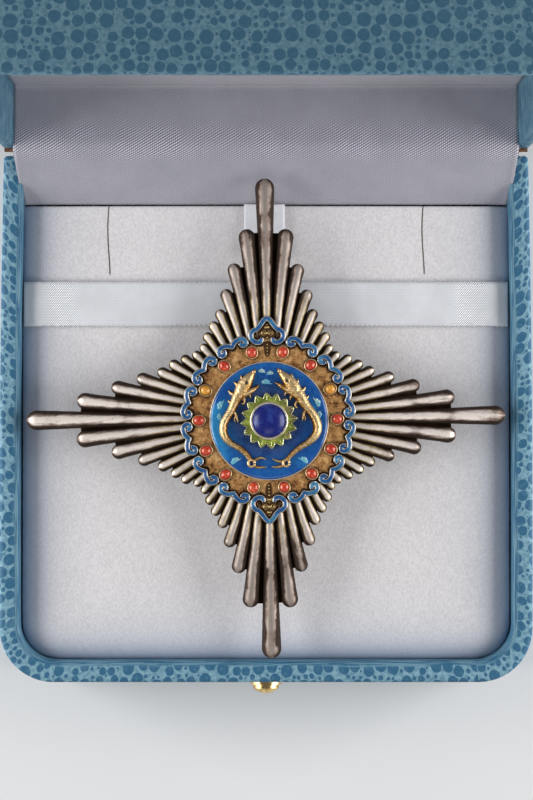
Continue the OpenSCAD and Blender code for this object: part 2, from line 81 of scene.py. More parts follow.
# Places taken from the frame, in millimetres
TRAY_LOW, TRAY_HIGH = box_mm("base_tray")
PAD_LOW, PAD_HIGH = box_mm("pad")
RIBBON_LOW, RIBBON_HIGH = box_mm("pad_ribbon")
TAB_LOW, TAB_HIGH = box_mm("pull_tab")
SATIN_LOW, SATIN_HIGH = box_mm("base_lining")
PANEL_LOW, PANEL_HIGH = box_mm("lid_lining")
RAYS_LOW, RAYS_HIGH = box_mm("star_rays")
PLATE_LOW = box_mm("medallion")[0]
DISC_LOW, DISC_HIGH = box_mm("disc_enamel")
BEZEL_LOW, BEZEL_HIGH = box_mm("bezel")
CAB_LOW, CAB_HIGH = box_mm("cabochon")
PETAL_HIGH = box_mm("petal_rosette")[1]
STONE_LOW, STONE_HIGH = box_mm("stone_1")
HINGE = np.array(frame["joints"][0]["pos_m"]) / MM
RIM_Z = TRAY_HIGH[2]
PAD_TOP = PAD_HIGH[2]

# The star's own frame: the middles of its rays and its medallion, the height of its underside, and
# its turn as it lies, read from the two stones that stand level with its middle
RAYS_MIDDLE = (RAYS_LOW[:2] + RAYS_HIGH[:2]) / 2
MEDAL_MIDDLE = (BEZEL_LOW[:2] + BEZEL_HIGH[:2]) / 2
STAR_Z = RAYS_LOW[2]
LEVEL = sum(box_mm("stone_4")) / 2 - sum(box_mm("stone_11")) / 2
STAR_TURN = math.atan2(LEVEL[1], LEVEL[0])
PLATE_Z = DISC_LOW[2] - STAR_Z
SEAT_Z = PLATE_LOW[2] - STAR_Z
DISC_TOP = DISC_HIGH[2] - STAR_Z
PETAL_TOP = PETAL_HIGH[2] - STAR_Z
DISC_R = (DISC_HIGH[0] - DISC_LOW[0]) / 2
# How far right of the middle of their reach the rays meet: the left arm is the longer one
RAY_SHIFT = 0.42
# The disc with its dragons and rosette sits a little off the middle of the ring of stones
DISC_SHIFT = np.array([0.19, -0.19])
ARM_R = (RAYS_HIGH[0] - RAYS_LOW[0]) / 2


# Sizes and colours that a user would change


class CaseProps(bpy.types.PropertyGroup):
    """The covered case."""

    bow: FloatProperty(name="Side bow", description="How far the case's sides draw in at the back",
                       default=0.75 * MM, unit="LENGTH")
    ground: FloatVectorProperty(name="Paper ground", description="Colour between the round cells",
                                default=(0.125, 0.27, 0.36), subtype="COLOR")
    cells: FloatVectorProperty(name="Paper cells", description="Colour of the round cells",
                               default=(0.021, 0.118, 0.225), subtype="COLOR")
    net: FloatVectorProperty(name="Paper net", description="Colour of the pale net round the cells",
                             default=(0.23, 0.41, 0.50), subtype="COLOR")
    cell_size: FloatProperty(name="Cell size", description="Spacing of the largest cells",
                             default=2.6 * MM, unit="LENGTH")


class SoftProps(bpy.types.PropertyGroup):
    """Pad, ribbon, tab and lining."""

    velvet: FloatVectorProperty(name="Velvet", description="Colour of the pad",
                                default=(0.782, 0.753, 0.752), subtype="COLOR")
    satin: FloatVectorProperty(name="Satin", description="Colour of the lining",
                               default=(0.40, 0.39, 0.44), subtype="COLOR")
    ribbon: FloatVectorProperty(name="Ribbon", description="Colour of the ribbon and the tab",
                                default=(0.80, 0.81, 0.84), subtype="COLOR")
    satin_t: FloatProperty(name="Satin thickness", description="Thickness of the lining's satin",
                           default=0.4 * MM, unit="LENGTH")
    ribbon_t: FloatProperty(name="Ribbon thickness", description="Thickness of the ribbon and the tab",
                            default=0.32 * MM, unit="LENGTH")
    crown_cap: FloatProperty(name="Crown limit", description="The most that the padding swells the pad",
                             default=0.35 * MM, unit="LENGTH")


class StarProps(bpy.types.PropertyGroup):
    """Metals, enamels and stones of the star."""

    silver: FloatVectorProperty(name="Silver", description="Bright metal of the rays",
                                default=(1.0, 0.89, 0.805), subtype="COLOR")
    # Used at the rays' feet and on the sheet behind them, partly as painted shade
    tarnish: FloatVectorProperty(name="Tarnish", description="Deep tarnish between the rays",
                                 default=(0.035, 0.018, 0.010), subtype="COLOR")
    gilt: FloatVectorProperty(name="Gilt plate", description="Metal of the medallion's plate",
                              default=(0.62, 0.32, 0.11), subtype="COLOR")
    gold: FloatVectorProperty(name="Dragon gold", description="Metal of the cast dragons",
                              default=(0.82, 0.60, 0.31), subtype="COLOR")
    blue: FloatVectorProperty(name="Disc enamel", description="Deep part of the disc's enamel",
                              default=(0.006, 0.085, 0.34), subtype="COLOR")
    line: FloatVectorProperty(name="Border enamel", description="Deep part of the border's enamel",
                              default=(0.010, 0.085, 0.26), subtype="COLOR")
    green: FloatVectorProperty(name="Leaf enamel", description="Enamel of the rosette",
                               default=(0.34, 0.46, 0.03), subtype="COLOR")
    coral: FloatVectorProperty(name="Coral", description="Colour of the red stones",
                               default=(0.55, 0.035, 0.012), subtype="COLOR")
    amber: FloatVectorProperty(name="Amber", description="Colour of the yellow stones",
                               default=(0.74, 0.29, 0.025), subtype="COLOR")
    lapis: FloatVectorProperty(name="Lapis", description="Colour of the middle stone",
                               default=(0.008, 0.014, 0.16), subtype="COLOR")


class StageProps(bpy.types.PropertyGroup):
    """Camera, light and floor."""

    distance: FloatProperty(name="Camera distance", description="From the camera to the case's rim",
                            default=510 * MM, unit="LENGTH")
    tilt: FloatProperty(name="Camera tilt", description="Lean of the view towards the front",
                        default=math.radians(1.0), subtype="ANGLE")
    lens: FloatProperty(name="Lens", description="Focal length for a 36 mm wide sensor", default=118.7)
    side: FloatProperty(name="Side lights", description="Power of each side light", default=2.35)
    front: FloatProperty(name="Front light", description="Power of the front light", default=0.45)
    floor: FloatVectorProperty(name="Floor", description="Colour of the floor",
                               default=(0.80, 0.80, 0.80), subtype="COLOR")


def case_props():
    """The case's settings."""
    return bpy.context.scene.case_props


def soft_props():
    """The soft goods' settings."""
    return bpy.context.scene.soft_props


def star_props():
    """The star's settings."""
    return bpy.context.scene.star_props


# Surfaces


def grid_faces(rows, cols, wrap=True):
    """Quads of a grid of rows by cols corners; wrap joins each row's last corner to its first."""
    i, j = np.meshgrid(np.arange(rows - 1), np.arange(cols if wrap else cols - 1), indexing="ij")
    k = (j + 1) % cols
    return np.stack([i * cols + j, i * cols + k, (i + 1) * cols + k, (i + 1) * cols + j], -1).reshape(-1, 4)


def outward(corners, quads, ends):
    """A closed solid with its faces turned so that its volume is positive."""
    a, b, c, d = (corners[quads[:, k]] for k in range(4))
    volume = np.sum(np.cross(a, b) * c) + np.sum(np.cross(a, c) * d)
    for end in ends:
        fan = corners[end]
        volume += np.sum(np.cross(fan[0], fan[1:-1]) * fan[2:])
    if volume < 0:
        quads = quads[:, ::-1]
        ends = [end[::-1] for end in ends]
    return corners, quads, ends


def closed_rings(rings):
    """A closed solid from rings of corners (rows, cols, 3), with a flat end on the first and last ring.
    It returns corners, quads and ends."""
    rows, cols = rings.shape[:2]
    ends = [np.arange(cols)[::-1], (rows - 1) * cols + np.arange(cols)]
    return outward(rings.reshape(-1, 3), grid_faces(rows, cols), ends)


def full_turn(steps):
    """Even angles once round."""
    return np.linspace(0, 2 * math.pi, steps, endpoint=False)


def lathe(radii, heights, turns=96):
    """Rings about the Z axis: each radius is a number, or one for every angle, at its height."""
    angle = full_turn(turns)
    r = np.array([np.broadcast_to(radius, turns) for radius in radii], float)
    z = np.broadcast_to(np.asarray(heights, float)[:, None], r.shape)
    return closed_rings(np.stack([r * np.cos(angle), r * np.sin(angle), z], -1))


def unit(vectors):
    """Rows scaled to a length of 1."""
    return vectors / (np.linalg.norm(vectors, axis=1)[:, None] + 1e-12)


def run_along(path):
    """How far each place of a path lies along it."""
    return np.concatenate([[0], np.cumsum(np.linalg.norm(np.diff(path, axis=0), axis=1))])


def path_normals(path):
    """Unit normals to the left of a path in the plane, from the step between its neighbours."""
    step = unit(np.gradient(path[:, :2], axis=0))
    return np.stack([-step[:, 1], step[:, 0]], -1)


def half_round(path, width, height, low, sides=8, power=1.0):
    """A bar with a half-round back along a path in the plane: across the path it follows
    (w/2 cos a, low + h sin a) for a from 0 to 180 degrees, and it is flat below."""
    path = np.asarray(path, float)
    a = np.linspace(0, math.pi, sides + 1)
    normal = path_normals(path)
    width = np.broadcast_to(np.asarray(width, float), len(path))
    height = np.broadcast_to(np.asarray(height, float), len(path))
    low = np.broadcast_to(np.asarray(low, float), len(path))
    across = np.cos(a)[None, :] * width[:, None] / 2
    up = low[:, None] + height[:, None] * np.sin(a)[None, :] ** power
    top = np.stack([path[:, :1] + normal[:, :1] * across, path[:, 1:2] + normal[:, 1:2] * across, up], -1)
    return closed_rings(top)


def round_wire(path, radius, sides=8):
    """A round wire along a path in space: a circle of the given radius square to the path."""
    path = np.asarray(path, float)
    step = unit(np.gradient(path, axis=0))
    side = unit(np.cross(step, np.array([0.0, 0.0, 1.0])))
    lift = np.cross(side, step)
    a = full_turn(sides)[None, :, None]
    ring = side[:, None, :] * np.cos(a) + lift[:, None, :] * np.sin(a)
    return closed_rings(path[:, None, :] + ring * radius)


def ring_wall(radius, half, low, height, turns):
    """A raised ring: a half-round wall on straight sides, carried round once."""
    profile = [(radius - half, low)]
    profile += [(radius - half * math.cos(t), low + height - half + half * math.sin(t))
                for t in np.linspace(0, math.pi, 9)]
    profile += [(radius + half, low)]
    r, z = np.array(profile).T
    angle = full_turn(turns)[:, None]
    rings = np.stack([np.cos(angle) * r, np.sin(angle) * r, np.broadcast_to(z, (turns, len(z)))], -1)
    number = np.arange(turns * len(z)).reshape(turns, len(z))
    along = np.roll(number, -1, 0)
    quads = np.stack([number, along, np.roll(along, -1, 1), np.roll(number, -1, 1)], -1)
    return outward(rings.reshape(-1, 3), quads.reshape(-1, 4), [])


def bead(middle, radius, height, sides=12):
    """A low dome on its middle: radius times cos t at height times sin t."""
    t = np.radians([0.0, 25, 50, 70, 84])
    corners, quads, ends = lathe(radius * np.cos(t), height * np.sin(t), sides)
    return corners + np.asarray(middle, float), quads, ends


def smooth_path(points, steps):
    """A Catmull-Rom curve through rows of numbers, with steps to each row."""
    p = np.asarray(points, float)
    q = np.vstack([2 * p[0] - p[1], p, 2 * p[-1] - p[-2]])
    t = np.linspace(0, 1, steps, endpoint=False)[:, None, None]
    a, b, c, d = q[:-3], q[1:-2], q[2:-1], q[3:]
    rows = 0.5 * (2 * b + (c - a) * t + (2 * a - 5 * b + 4 * c - d) * t**2 + (3 * b - a - 3 * c + d) * t**3)
    return np.vstack([rows.transpose(1, 0, 2).reshape(-1, p.shape[1]), p[-1:]])


def arc(middle, radius, start, end, steps):
    """Points on an arc, in degrees, both ends included."""
    a = np.radians(np.linspace(start, end, steps))
    return np.stack([middle[0] + radius * np.cos(a), middle[1] + radius * np.sin(a)], -1)


def turned(points, degrees):
    """Points in the plane turned clockwise, with any height kept."""
    a = math.radians(degrees)
    out = np.array(points, float)
    out[..., 0] = points[..., 0] * math.cos(a) + points[..., 1] * math.sin(a)
    out[..., 1] = points[..., 1] * math.cos(a) - points[..., 0] * math.sin(a)
    return out


def turned_solid(solid, degrees):
    """A closed solid turned clockwise about the star's middle."""
    corners, quads, ends = solid
    return turned(corners, degrees), quads, ends


def on_rays(corners, middle=RAYS_MIDDLE + [RAY_SHIFT, 0]):
    """Places in the star's frame, in millimetres, moved to where its rays lie."""
    c, s = math.cos(STAR_TURN), math.sin(STAR_TURN)
    x = corners[:, 0] * c - corners[:, 1] * s + middle[0]
    y = corners[:, 0] * s + corners[:, 1] * c + middle[1]
    return np.stack([x, y, corners[:, 2] + STAR_Z], -1)


def on_medal(corners):
    """The same for the medallion, which sits a little off the rays' middle."""
    return on_rays(corners, MEDAL_MIDDLE)


def on_disc(corners):
    """The same for the disc and what lies on it."""
    return on_rays(corners, MEDAL_MIDDLE + DISC_SHIFT)


def build(name, solids, material, body, replaced=(), place=None, uv=None, marks=(), seam=None,
          lie=None):
    """One mesh object from closed solids in millimetres; place moves the corners first. uv gives each
    corner its cloth or paper coordinates, and marks are named values for each corner. seam is the run
    after which the paper meets itself, and lie the two axes along which it lies on flat ends."""
    corners, faces, start = [], [], 0
    for points, quads, ends in solids:
        corners.append(points)
        faces.extend((quads + start).tolist())
        faces.extend((end + start).tolist() for end in ends)
        start += len(points)
    corners = np.concatenate(corners)
    if place is not None:
        corners = place(corners)
    mesh = bpy.data.meshes.new(name)
    mesh.from_pydata((corners * MM).tolist(), [], faces)
    if uv is not None:
        layer = mesh.uv_layers.new(name="cloth")
        index = np.zeros(len(mesh.loops), np.int32)
        mesh.loops.foreach_get("vertex_index", index)
        paper = np.asarray(uv, np.float32)[index]
        sides = 4 * sum(len(quads) for _, quads, _ in solids)
        if seam is not None:
            run = paper[:sides].reshape(-1, 4, 2)[..., 0]
            torn = (np.ptp(run, axis=1) > seam / 2)[:, None] & (run < seam / 2)
            run += np.where(torn, seam, 0)
        if lie is not None:
            paper[sides:] = corners[index[sides:]][:, lie] * MM - PAPER_APART
        layer.data.foreach_set("uv", paper.ravel())
    for mark, values in dict(marks).items():
        mesh.attributes.new(mark, "FLOAT", "POINT").data.foreach_set("value", np.asarray(values, np.float32))
    mesh.polygons.foreach_set("use_smooth", np.ones(len(mesh.polygons), bool))
    piece = bpy.data.objects.new(name, mesh)
    bpy.context.scene.collection.objects.link(piece)
    piece.data.materials.append(material)
    if body:
        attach(piece, body)
    if replaced:
        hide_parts(*replaced)
    return piece


# Materials


class Shader:
    """Adds nodes to a material or a group; each method returns the output to link on."""

    def __init__(self, tree):
        self.tree = tree

    def node(self, kind, inputs=(), **settings):
        """A node with its settings, and its inputs by name or place as values or outputs."""
        made = self.tree.nodes.new(kind)
        for key, value in settings.items():
            setattr(made, key, value)
        for key, value in dict(inputs).items():
            if isinstance(value, bpy.types.NodeSocket):
                self.link(value, made.inputs[key])
            else:
                made.inputs[key].default_value = value
        return made

    def link(self, value, socket):
        """Carries an output on to a socket."""
        self.tree.links.new(value, socket)

    def math(self, operation, a, b=0.0, clamp=False):
        """One step of arithmetic."""
        return self.node("ShaderNodeMath", {0: a, 1: b}, operation=operation, use_clamp=clamp).outputs[0]

    def times(self, a, b):
        """a times b."""
        return self.math("MULTIPLY", a, b)

    def plus(self, a, b, clamp=False):
        """a plus b, kept from 0 to 1 where clamp says so."""
        return self.math("ADD", a, b, clamp)

    def minus(self, a, b):
        """a less b."""
        return self.math("SUBTRACT", a, b)

    def size(self, a):
        """a without its sign."""
        return self.math("ABSOLUTE", a)

    def mark(self, name):
        """A named value that each corner of the mesh carries."""
        return self.node("ShaderNodeAttribute", attribute_name=name).outputs["Fac"]

    def noise(self, vector, scale, detail=3.0, rough=0.5, distortion=0.0):
        """Cloudy noise from 0 to 1."""
        inputs = {"Vector": vector, "Scale": scale, "Detail": detail, "Roughness": rough,
                  "Distortion": distortion}
        return self.node("ShaderNodeTexNoise", inputs).outputs["Fac"]

    def points(self, vector, scale):
        """Points scattered on a sheet: how far the nearest is, its place, and the radius at which circles
        on the points would touch."""
        inputs = {"Vector": vector, "Scale": scale, "Randomness": 0.52}
        near, room = (self.node("ShaderNodeTexVoronoi", inputs, voronoi_dimensions="2D",
                                feature=kind).outputs for kind in ("F1", "N_SPHERE_RADIUS"))
        return near["Distance"], near["Position"], room["Radius"]

    def large_radius(self, room):
        """Radius of a large blot, from the room round its point."""
        return self.minus(self.math("MINIMUM", room, 0.46), 0.02)

    def step(self, value, low, high, to_low=0.0, to_high=1.0, smooth=True):
        """A ramp from to_low at low to to_high at high."""
        inputs = {"Value": value, "From Min": low, "From Max": high, "To Min": to_low, "To Max": to_high}
        kind = "SMOOTHSTEP" if smooth else "LINEAR"
        return self.node("ShaderNodeMapRange", inputs, interpolation_type=kind).outputs[0]

    def mix(self, amount, a, b):
        """Two colours mixed."""
        return self.node("ShaderNodeMix", {0: amount, 6: a, 7: b}, data_type="RGBA").outputs[2]

    def stretched(self, vector, scale):
        """A pattern's coordinates stretched."""
        return self.node("ShaderNodeMapping", {"Vector": vector, "Scale": scale}).outputs[0]

    def split(self, vector):
        """The three parts of a place."""
        return self.node("ShaderNodeSeparateXYZ", {0: vector}).outputs

    def bump(self, height, strength, distance):
        """A relief from a height."""
        inputs = {"Height": height, "Strength": strength, "Distance": distance}
        return self.node("ShaderNodeBump", inputs).outputs[0]

    def group(self, tree, **inputs):
        """A shared effect, with its inputs by name."""
        named = {key.replace("_", " "): value for key, value in inputs.items()}
        return self.node("ShaderNodeGroup", named, node_tree=tree).outputs


def rgba(colour, factor=1.0):
    """A colour with its alpha, brightened or darkened by a factor."""
    return (colour[0] * factor, colour[1] * factor, colour[2] * factor, 1.0)


def new_group(name, inputs, outputs):
    """An empty node group with named sockets: the group, its shader, its inputs and its output node."""
    tree = bpy.data.node_groups.new(name, "ShaderNodeTree")
    for label, kind, value in inputs:
        socket = tree.interface.new_socket(label, in_out="INPUT", socket_type=kind)
        if value is not None:
            socket.default_value = value
    for label, kind in outputs:
        tree.interface.new_socket(label, in_out="OUTPUT", socket_type=kind)
    shader = Shader(tree)
    return tree, shader, tree.nodes.new("NodeGroupInput").outputs, tree.nodes.new("NodeGroupOutput").inputs


GROUPS = {}
# Keeps the paper's pattern on flat ends away from the part that is drawn over an edge, in metres
PAPER_APART = 0.2
# Width over which the satin's painted highlight band begins and ends, in metres
GLINT_FADE = 0.0025
FLOAT, COLOUR, VECTOR = "NodeSocketFloat", "NodeSocketColor", "NodeSocketVector"


def bubble_paper_group():
    """Covering paper on its own coordinates: dark blots of two sizes, packed close in a pale net. Past
    Drawn From, where it is pulled over an edge, it turns to streaks, kept dark partly as painted shade."""
    tree, s, given, out = new_group(
        "bubble_paper",
        [("Vector", VECTOR, None), ("Scale", FLOAT, 300.0), ("Ground", COLOUR, None),
         ("Cells", COLOUR, None), ("Net", COLOUR, None), ("Drawn From", FLOAT, 1.0),
         ("Drawn To", FLOAT, 1.1), ("Streaks", VECTOR, None)],
        [("Color", COLOUR), ("Height", FLOAT)])
    spot = given["Vector"]
    wobble = s.times(s.minus(s.noise(spot, 900.0, 2.0), 0.5), 0.12)
    far, _, room = s.points(spot, given["Scale"])
    large = s.step(s.minus(s.plus(far, wobble), s.large_radius(room)), 0.03, -0.03)
    near, place, gap = s.points(spot, s.times(given["Scale"], 2.0))
    outside, _, beside = s.points(place, given["Scale"])
    free = s.times(s.minus(outside, s.large_radius(beside)), 2.0)
    radius = s.math("MINIMUM", s.minus(gap, 0.06), s.minus(free, 0.13))
    small = s.step(s.minus(s.plus(near, wobble), radius), 0.05, -0.05)
    mask = s.math("MAXIMUM", large, small)
    cloud = s.noise(spot, 1300.0, 3.0)
    between = s.mix(s.step(cloud, 0.35, 0.65), given["Ground"], given["Net"])
    inside = s.mix(s.step(cloud, 0.45, 0.80, 0.0, 0.35), given["Cells"], given["Ground"])
    printed = s.mix(s.times(mask, 0.95), between, inside)
    pulled = s.node("ShaderNodeVectorMath", {0: spot, 1: given["Streaks"]}, operation="MULTIPLY")
    lines = s.noise(pulled.outputs[0], 1.0, 4.0, 0.6, 0.4)
    # The streaks' colour is kept dark, partly as painted shade on the inner walls
    drawn = s.mix(s.step(lines, 0.41, 0.60), given["Cells"], s.mix(0.22, given["Ground"], given["Net"]))
    ragged = s.plus(s.split(spot)[1], s.times(s.minus(lines, 0.5), 0.0016))
    share = s.step(ragged, given["Drawn From"], given["Drawn To"])
    s.link(s.mix(share, printed, drawn), out["Color"])
    s.link(s.plus(s.times(mask, -0.5), s.times(lines, share)), out["Height"])
    return tree


def twill_group():
    """Satin twill: slanting floats crossed by fine threads, with a slow change of lustre."""
    tree, s, given, out = new_group(
        "satin_twill", [("Vector", VECTOR, None), ("Pitch", FLOAT, 2200.0), ("Slant", FLOAT, 0.6)],
        [("Float", FLOAT), ("Lustre", FLOAT)])
    x, y, _ = s.split(given["Vector"])
    slant = s.minus(y, s.times(x, given["Slant"]))
    drift = s.times(s.noise(given["Vector"], 260.0, 2.0), 0.0006)
    wave = s.math("SINE", s.times(s.times(s.plus(slant, drift), given["Pitch"]), 2 * math.pi))
    threads = s.math("SINE", s.times(x, s.times(given["Pitch"], 9.0)))
    s.link(s.plus(s.times(wave, 0.5), s.times(threads, 0.25)), out["Float"])
    s.link(s.noise(given["Vector"], 120.0, 4.0, 0.6), out["Lustre"])
    return tree


def tarnish_group():
    """Old metal: how much tarnish lies at a place, more the lower it is, broken up by noise."""
    tree, s, given, out = new_group(
        "tarnish", [("Vector", VECTOR, None), ("Low", FLOAT, 0.0), ("High", FLOAT, 0.001),
                    ("Grain", FLOAT, 600.0), ("Spread", FLOAT, 0.35)],
        [("Tarnish", FLOAT), ("Scuffs", FLOAT)])
    spot, grain = given["Vector"], given["Grain"]
    depth = s.step(s.split(spot)[2], given["Low"], given["High"], 1.0, 0.0, smooth=False)
    rough = s.noise(spot, grain, 5.0, 0.65)
    patches = s.noise(spot, s.times(grain, 0.22), 3.0, 0.55)
    spread = s.times(s.times(s.minus(s.plus(rough, patches), 1.0), given["Spread"]), 3.0)
    s.link(s.plus(depth, spread, clamp=True), out["Tarnish"])
    s.link(s.noise(spot, s.times(grain, 6.0), 2.0, 0.7), out["Scuffs"])
    return tree


def enamel_group():
    """Fired enamel: drifting lighter patches and fine grains."""
    tree, s, given, out = new_group(
        "enamel", [("Vector", VECTOR, None), ("Deep", COLOUR, None), ("Light", COLOUR, None),
                   ("Patch", FLOAT, 160.0), ("Amount", FLOAT, 0.6)],
        [("Color", COLOUR), ("Grain", FLOAT)])
    cloud = s.noise(given["Vector"], given["Patch"], 3.0, 0.55, 0.4)
    fleck = s.noise(given["Vector"], s.times(given["Patch"], 9.0), 3.0, 0.7)
    amount = s.times(s.step(cloud, 0.42, 0.70), given["Amount"])
    amount = s.plus(amount, s.times(s.minus(fleck, 0.5), 0.35), clamp=True)
    s.link(s.mix(amount, given["Deep"], given["Light"]), out["Color"])
    s.link(fleck, out["Grain"])
    return tree


def make_groups():
    """Builds the shared effects once."""
    GROUPS.update(paper=bubble_paper_group(), twill=twill_group(), tarnish=tarnish_group(),
                  enamel=enamel_group())


def new_material(name, **sockets):
    """A material with its shader's plain values set: the material, its Shader, the coordinates and the
    surface."""
    material = bpy.data.materials.new(name)
    material.use_nodes = True
    tree = material.node_tree
    surface = tree.nodes["Principled BSDF"]
    for key, value in sockets.items():
        surface.inputs[key.replace("_", " ")].default_value = value
    return material, Shader(tree), tree.nodes.new("ShaderNodeTexCoord").outputs, surface


def join(shader, surface, **links):
    """Links outputs to the surface's sockets by name."""
    for key, value in links.items():
        shader.link(value, surface.inputs[key.replace("_", " ")])


def paper_material(name, drawn_from, drawn_to, streaks, fade=0.0):
    """Printed paper with round cells, drawn into streaks between two distances along its width. fade takes
    the cells and the net towards the ground's colour, and darkens all three by half as much, as painted
    shade."""
    p = case_props()
    material, s, at, surface = new_material(name, Roughness=0.6, Specular_IOR_Level=0.35)
    cells = Vector(p.cells).lerp(Vector(p.ground), fade)
    net = Vector(p.net).lerp(Vector(p.ground), fade)
    painted_dim = 1 - fade / 2
    out = s.group(GROUPS["paper"], Vector=at["UV"], Scale=1 / p.cell_size, Ground=rgba(p.ground, painted_dim),
                  Cells=rgba(cells, painted_dim), Net=rgba(net, painted_dim), Drawn_From=drawn_from * MM,
                  Drawn_To=drawn_to * MM, Streaks=streaks)
    worn = s.noise(at["Object"], 60.0, 4.0, 0.6)
    colour = s.mix(s.step(worn, 0.55, 0.8, 0.0, 0.15), out["Color"], rgba(p.net, 1.2 * painted_dim))
    join(s, surface, Base_Color=colour, Normal=s.bump(out["Height"], 0.3, 0.00008))
    return material


def velvet_material():
    """Short-pile velvet: soft blotches where the pile leans, a fine nap, and brown along the slits. Near the
    walls it is darkened and blued as painted shade and a painted reflection of the blue walls.
    """
    p = soft_props()
    material, s, at, surface = new_material("velvet", Roughness=0.9, Sheen_Weight=0.5, Sheen_Roughness=0.45,
                                            Specular_IOR_Level=0.12)
    spot = at["Object"]
    lean = s.noise(s.stretched(spot, (1, 0.55, 1)), 130.0, 3.0, 0.5)
    nap = s.noise(s.stretched(spot, (1, 0.6, 1)), 3300.0, 4.0, 0.75)
    tone = s.plus(s.times(lean, 0.12), s.times(nap, 0.88))
    colour = s.mix(s.step(tone, 0.36, 0.64), rgba(p.velvet, 0.895), rgba(p.velvet, 1.115))
    # Brown along the slits
    slit_brown = s.times(s.mark("slit"), s.step(s.noise(spot, 700.0, 2.0), 0.35, 0.6, 0.55, 1.0))
    colour = s.mix(slit_brown, colour, rgba((0.36, 0.27, 0.19)))
    # Painted shade and painted reflection: darker and bluer near the walls
    colour = s.mix(s.times(s.mark("wall"), 0.85), colour, rgba((0.27, 0.36, 0.52)))
    join(s, surface, Base_Color=colour, Normal=s.bump(nap, 0.35, 0.00012))
    return material


def satin_material(name, colour, pitch, slant, rough, contrast, lustre=(0.0, 0.0, 0.0), shine=0.0):
    """Satin twill on the piece's own cloth coordinates. lustre is a line across the cloth and the nearest
    and farthest distance from it, in metres, between which shine paints a highlight on the floats."""
    material, s, at, surface = new_material(name, Sheen_Weight=0.25, Sheen_Roughness=0.3,
                                            Specular_IOR_Level=0.6)
    cloth = at["UV"]
    out = s.group(GROUPS["twill"], Vector=cloth, Pitch=pitch, Slant=slant)
    middle, near, far = lustre
    away = s.size(s.minus(s.split(cloth)[1], middle))
    band = s.times(s.step(away, near - GLINT_FADE, near), s.step(away, far + GLINT_FADE, far))
    painted_glint = s.times(band, s.step(out["Lustre"], 0.35, 0.6, 0.4, 1.0))
    shade = s.step(out["Float"], -0.6, 0.7, 1 - contrast, 1 + contrast, smooth=False)
    shade = s.times(shade, s.step(out["Lustre"], 0.3, 0.7, 0.95, 1.05))
    # Painted highlight: shine brightens the floats in the band
    bright = s.times(painted_glint, s.step(out["Float"], -0.1, 0.6, -0.4 * shine, shine))
    value = s.plus(shade, bright)
    tint = s.node("ShaderNodeHueSaturation", {"Value": value, "Color": rgba(colour)}).outputs[0]
    gloss = s.step(out["Float"], -0.7, 0.7, rough + 0.14, rough - 0.06)
    join(s, surface, Base_Color=tint, Roughness=gloss, Normal=s.bump(out["Float"], 0.55, 0.00007))
    return material


def metal_material(name, bright, dark, low, high, grain, spread, rough):
    """Old metal: bright on the crests, tarnished low down, with scuffs; low and high in the star's frame."""
    material, s, at, surface = new_material(name, Metallic=1.0)
    out = s.group(GROUPS["tarnish"], Vector=at["Object"], Low=(STAR_Z + low) * MM,
                  High=(STAR_Z + high) * MM, Grain=grain, Spread=spread)
    colour = s.mix(out["Tarnish"], rgba(bright), rgba(dark))
    shine = s.plus(s.step(out["Scuffs"], 0.3, 0.7, rough - 0.06, rough + 0.1), s.times(out["Tarnish"], 0.3))
    join(s, surface, Base_Color=colour, Roughness=shine, Normal=s.bump(out["Scuffs"], 0.35, 0.00004))
    return material


def enamel_material(name, deep, light, patch, amount, rough=0.16):
    """Glossy fired enamel."""
    material, s, at, surface = new_material(name, Coat_Weight=0.6, Coat_Roughness=0.08,
                                            Specular_IOR_Level=0.55)
    out = s.group(GROUPS["enamel"], Vector=at["Object"], Deep=rgba(deep), Light=rgba(light), Patch=patch,
                  Amount=amount)
    join(s, surface, Base_Color=out["Color"],
         Roughness=s.step(out["Grain"], 0.3, 0.7, rough, rough + 0.14),
         Normal=s.bump(out["Grain"], 0.15, 0.00005))
    return material


def steel_material():
    """Hinge metal, worn and spotted with rust."""
    material, s, at, surface = new_material("hinge_metal", Metallic=0.9)
    spots = s.noise(at["Object"], 900.0, 5.0, 0.7)
    rust = s.step(spots, 0.38, 0.60)
    colour = s.mix(rust, rgba((0.30, 0.22, 0.15)), rgba((0.22, 0.075, 0.02)))
    join(s, surface, Base_Color=colour, Roughness=s.step(spots, 0.3, 0.6, 0.35, 0.8),
         Normal=s.bump(spots, 0.4, 0.0001))
    return material


def brass_material():
    """Polished button brass with fine wear."""
    material, s, at, surface = new_material("button_brass", Metallic=1.0)
    wear = s.noise(at["Object"], 1600.0, 4.0, 0.65)
    colour = s.mix(s.step(wear, 0.4, 0.7), rgba((0.85, 0.62, 0.28)), rgba((0.55, 0.36, 0.14)))
    join(s, surface, Base_Color=colour, Roughness=s.step(wear, 0.3, 0.7, 0.16, 0.38),
         Normal=s.bump(wear, 0.2, 0.00005))
    return material


def floor_material():
    """Plain pale floor with the faintest unevenness."""
    p = bpy.context.scene.stage_props
    material, s, at, surface = new_material("floor", Roughness=0.8)
    cloud = s.noise(at["Object"], 3.0, 2.0)
    join(s, surface, Base_Color=s.mix(s.step(cloud, 0.3, 0.7, 0.0, 0.3), rgba(p.floor), rgba(p.floor, 0.96)))
    return material


# Case. Walls are its side, front and back walls, in millimetres

TRAY_WALLS = (3.8, 4.2, 3.8)
TRAY_FLOOR = 2.4
TRAY_INNER_R = 7.2
LID_WALLS = (2.4, 2.4, 2.4)
LID_H = 15.2
LID_TOP = 2.2
CORNER_R = 10.4
# Radius of the outer and the inner corners at the back
BACK_R = 0.8
INNER_BACK_R = 0.3
# How much of a wall's thickness its rounded outer edge takes
EDGE_SHARE = 0.22


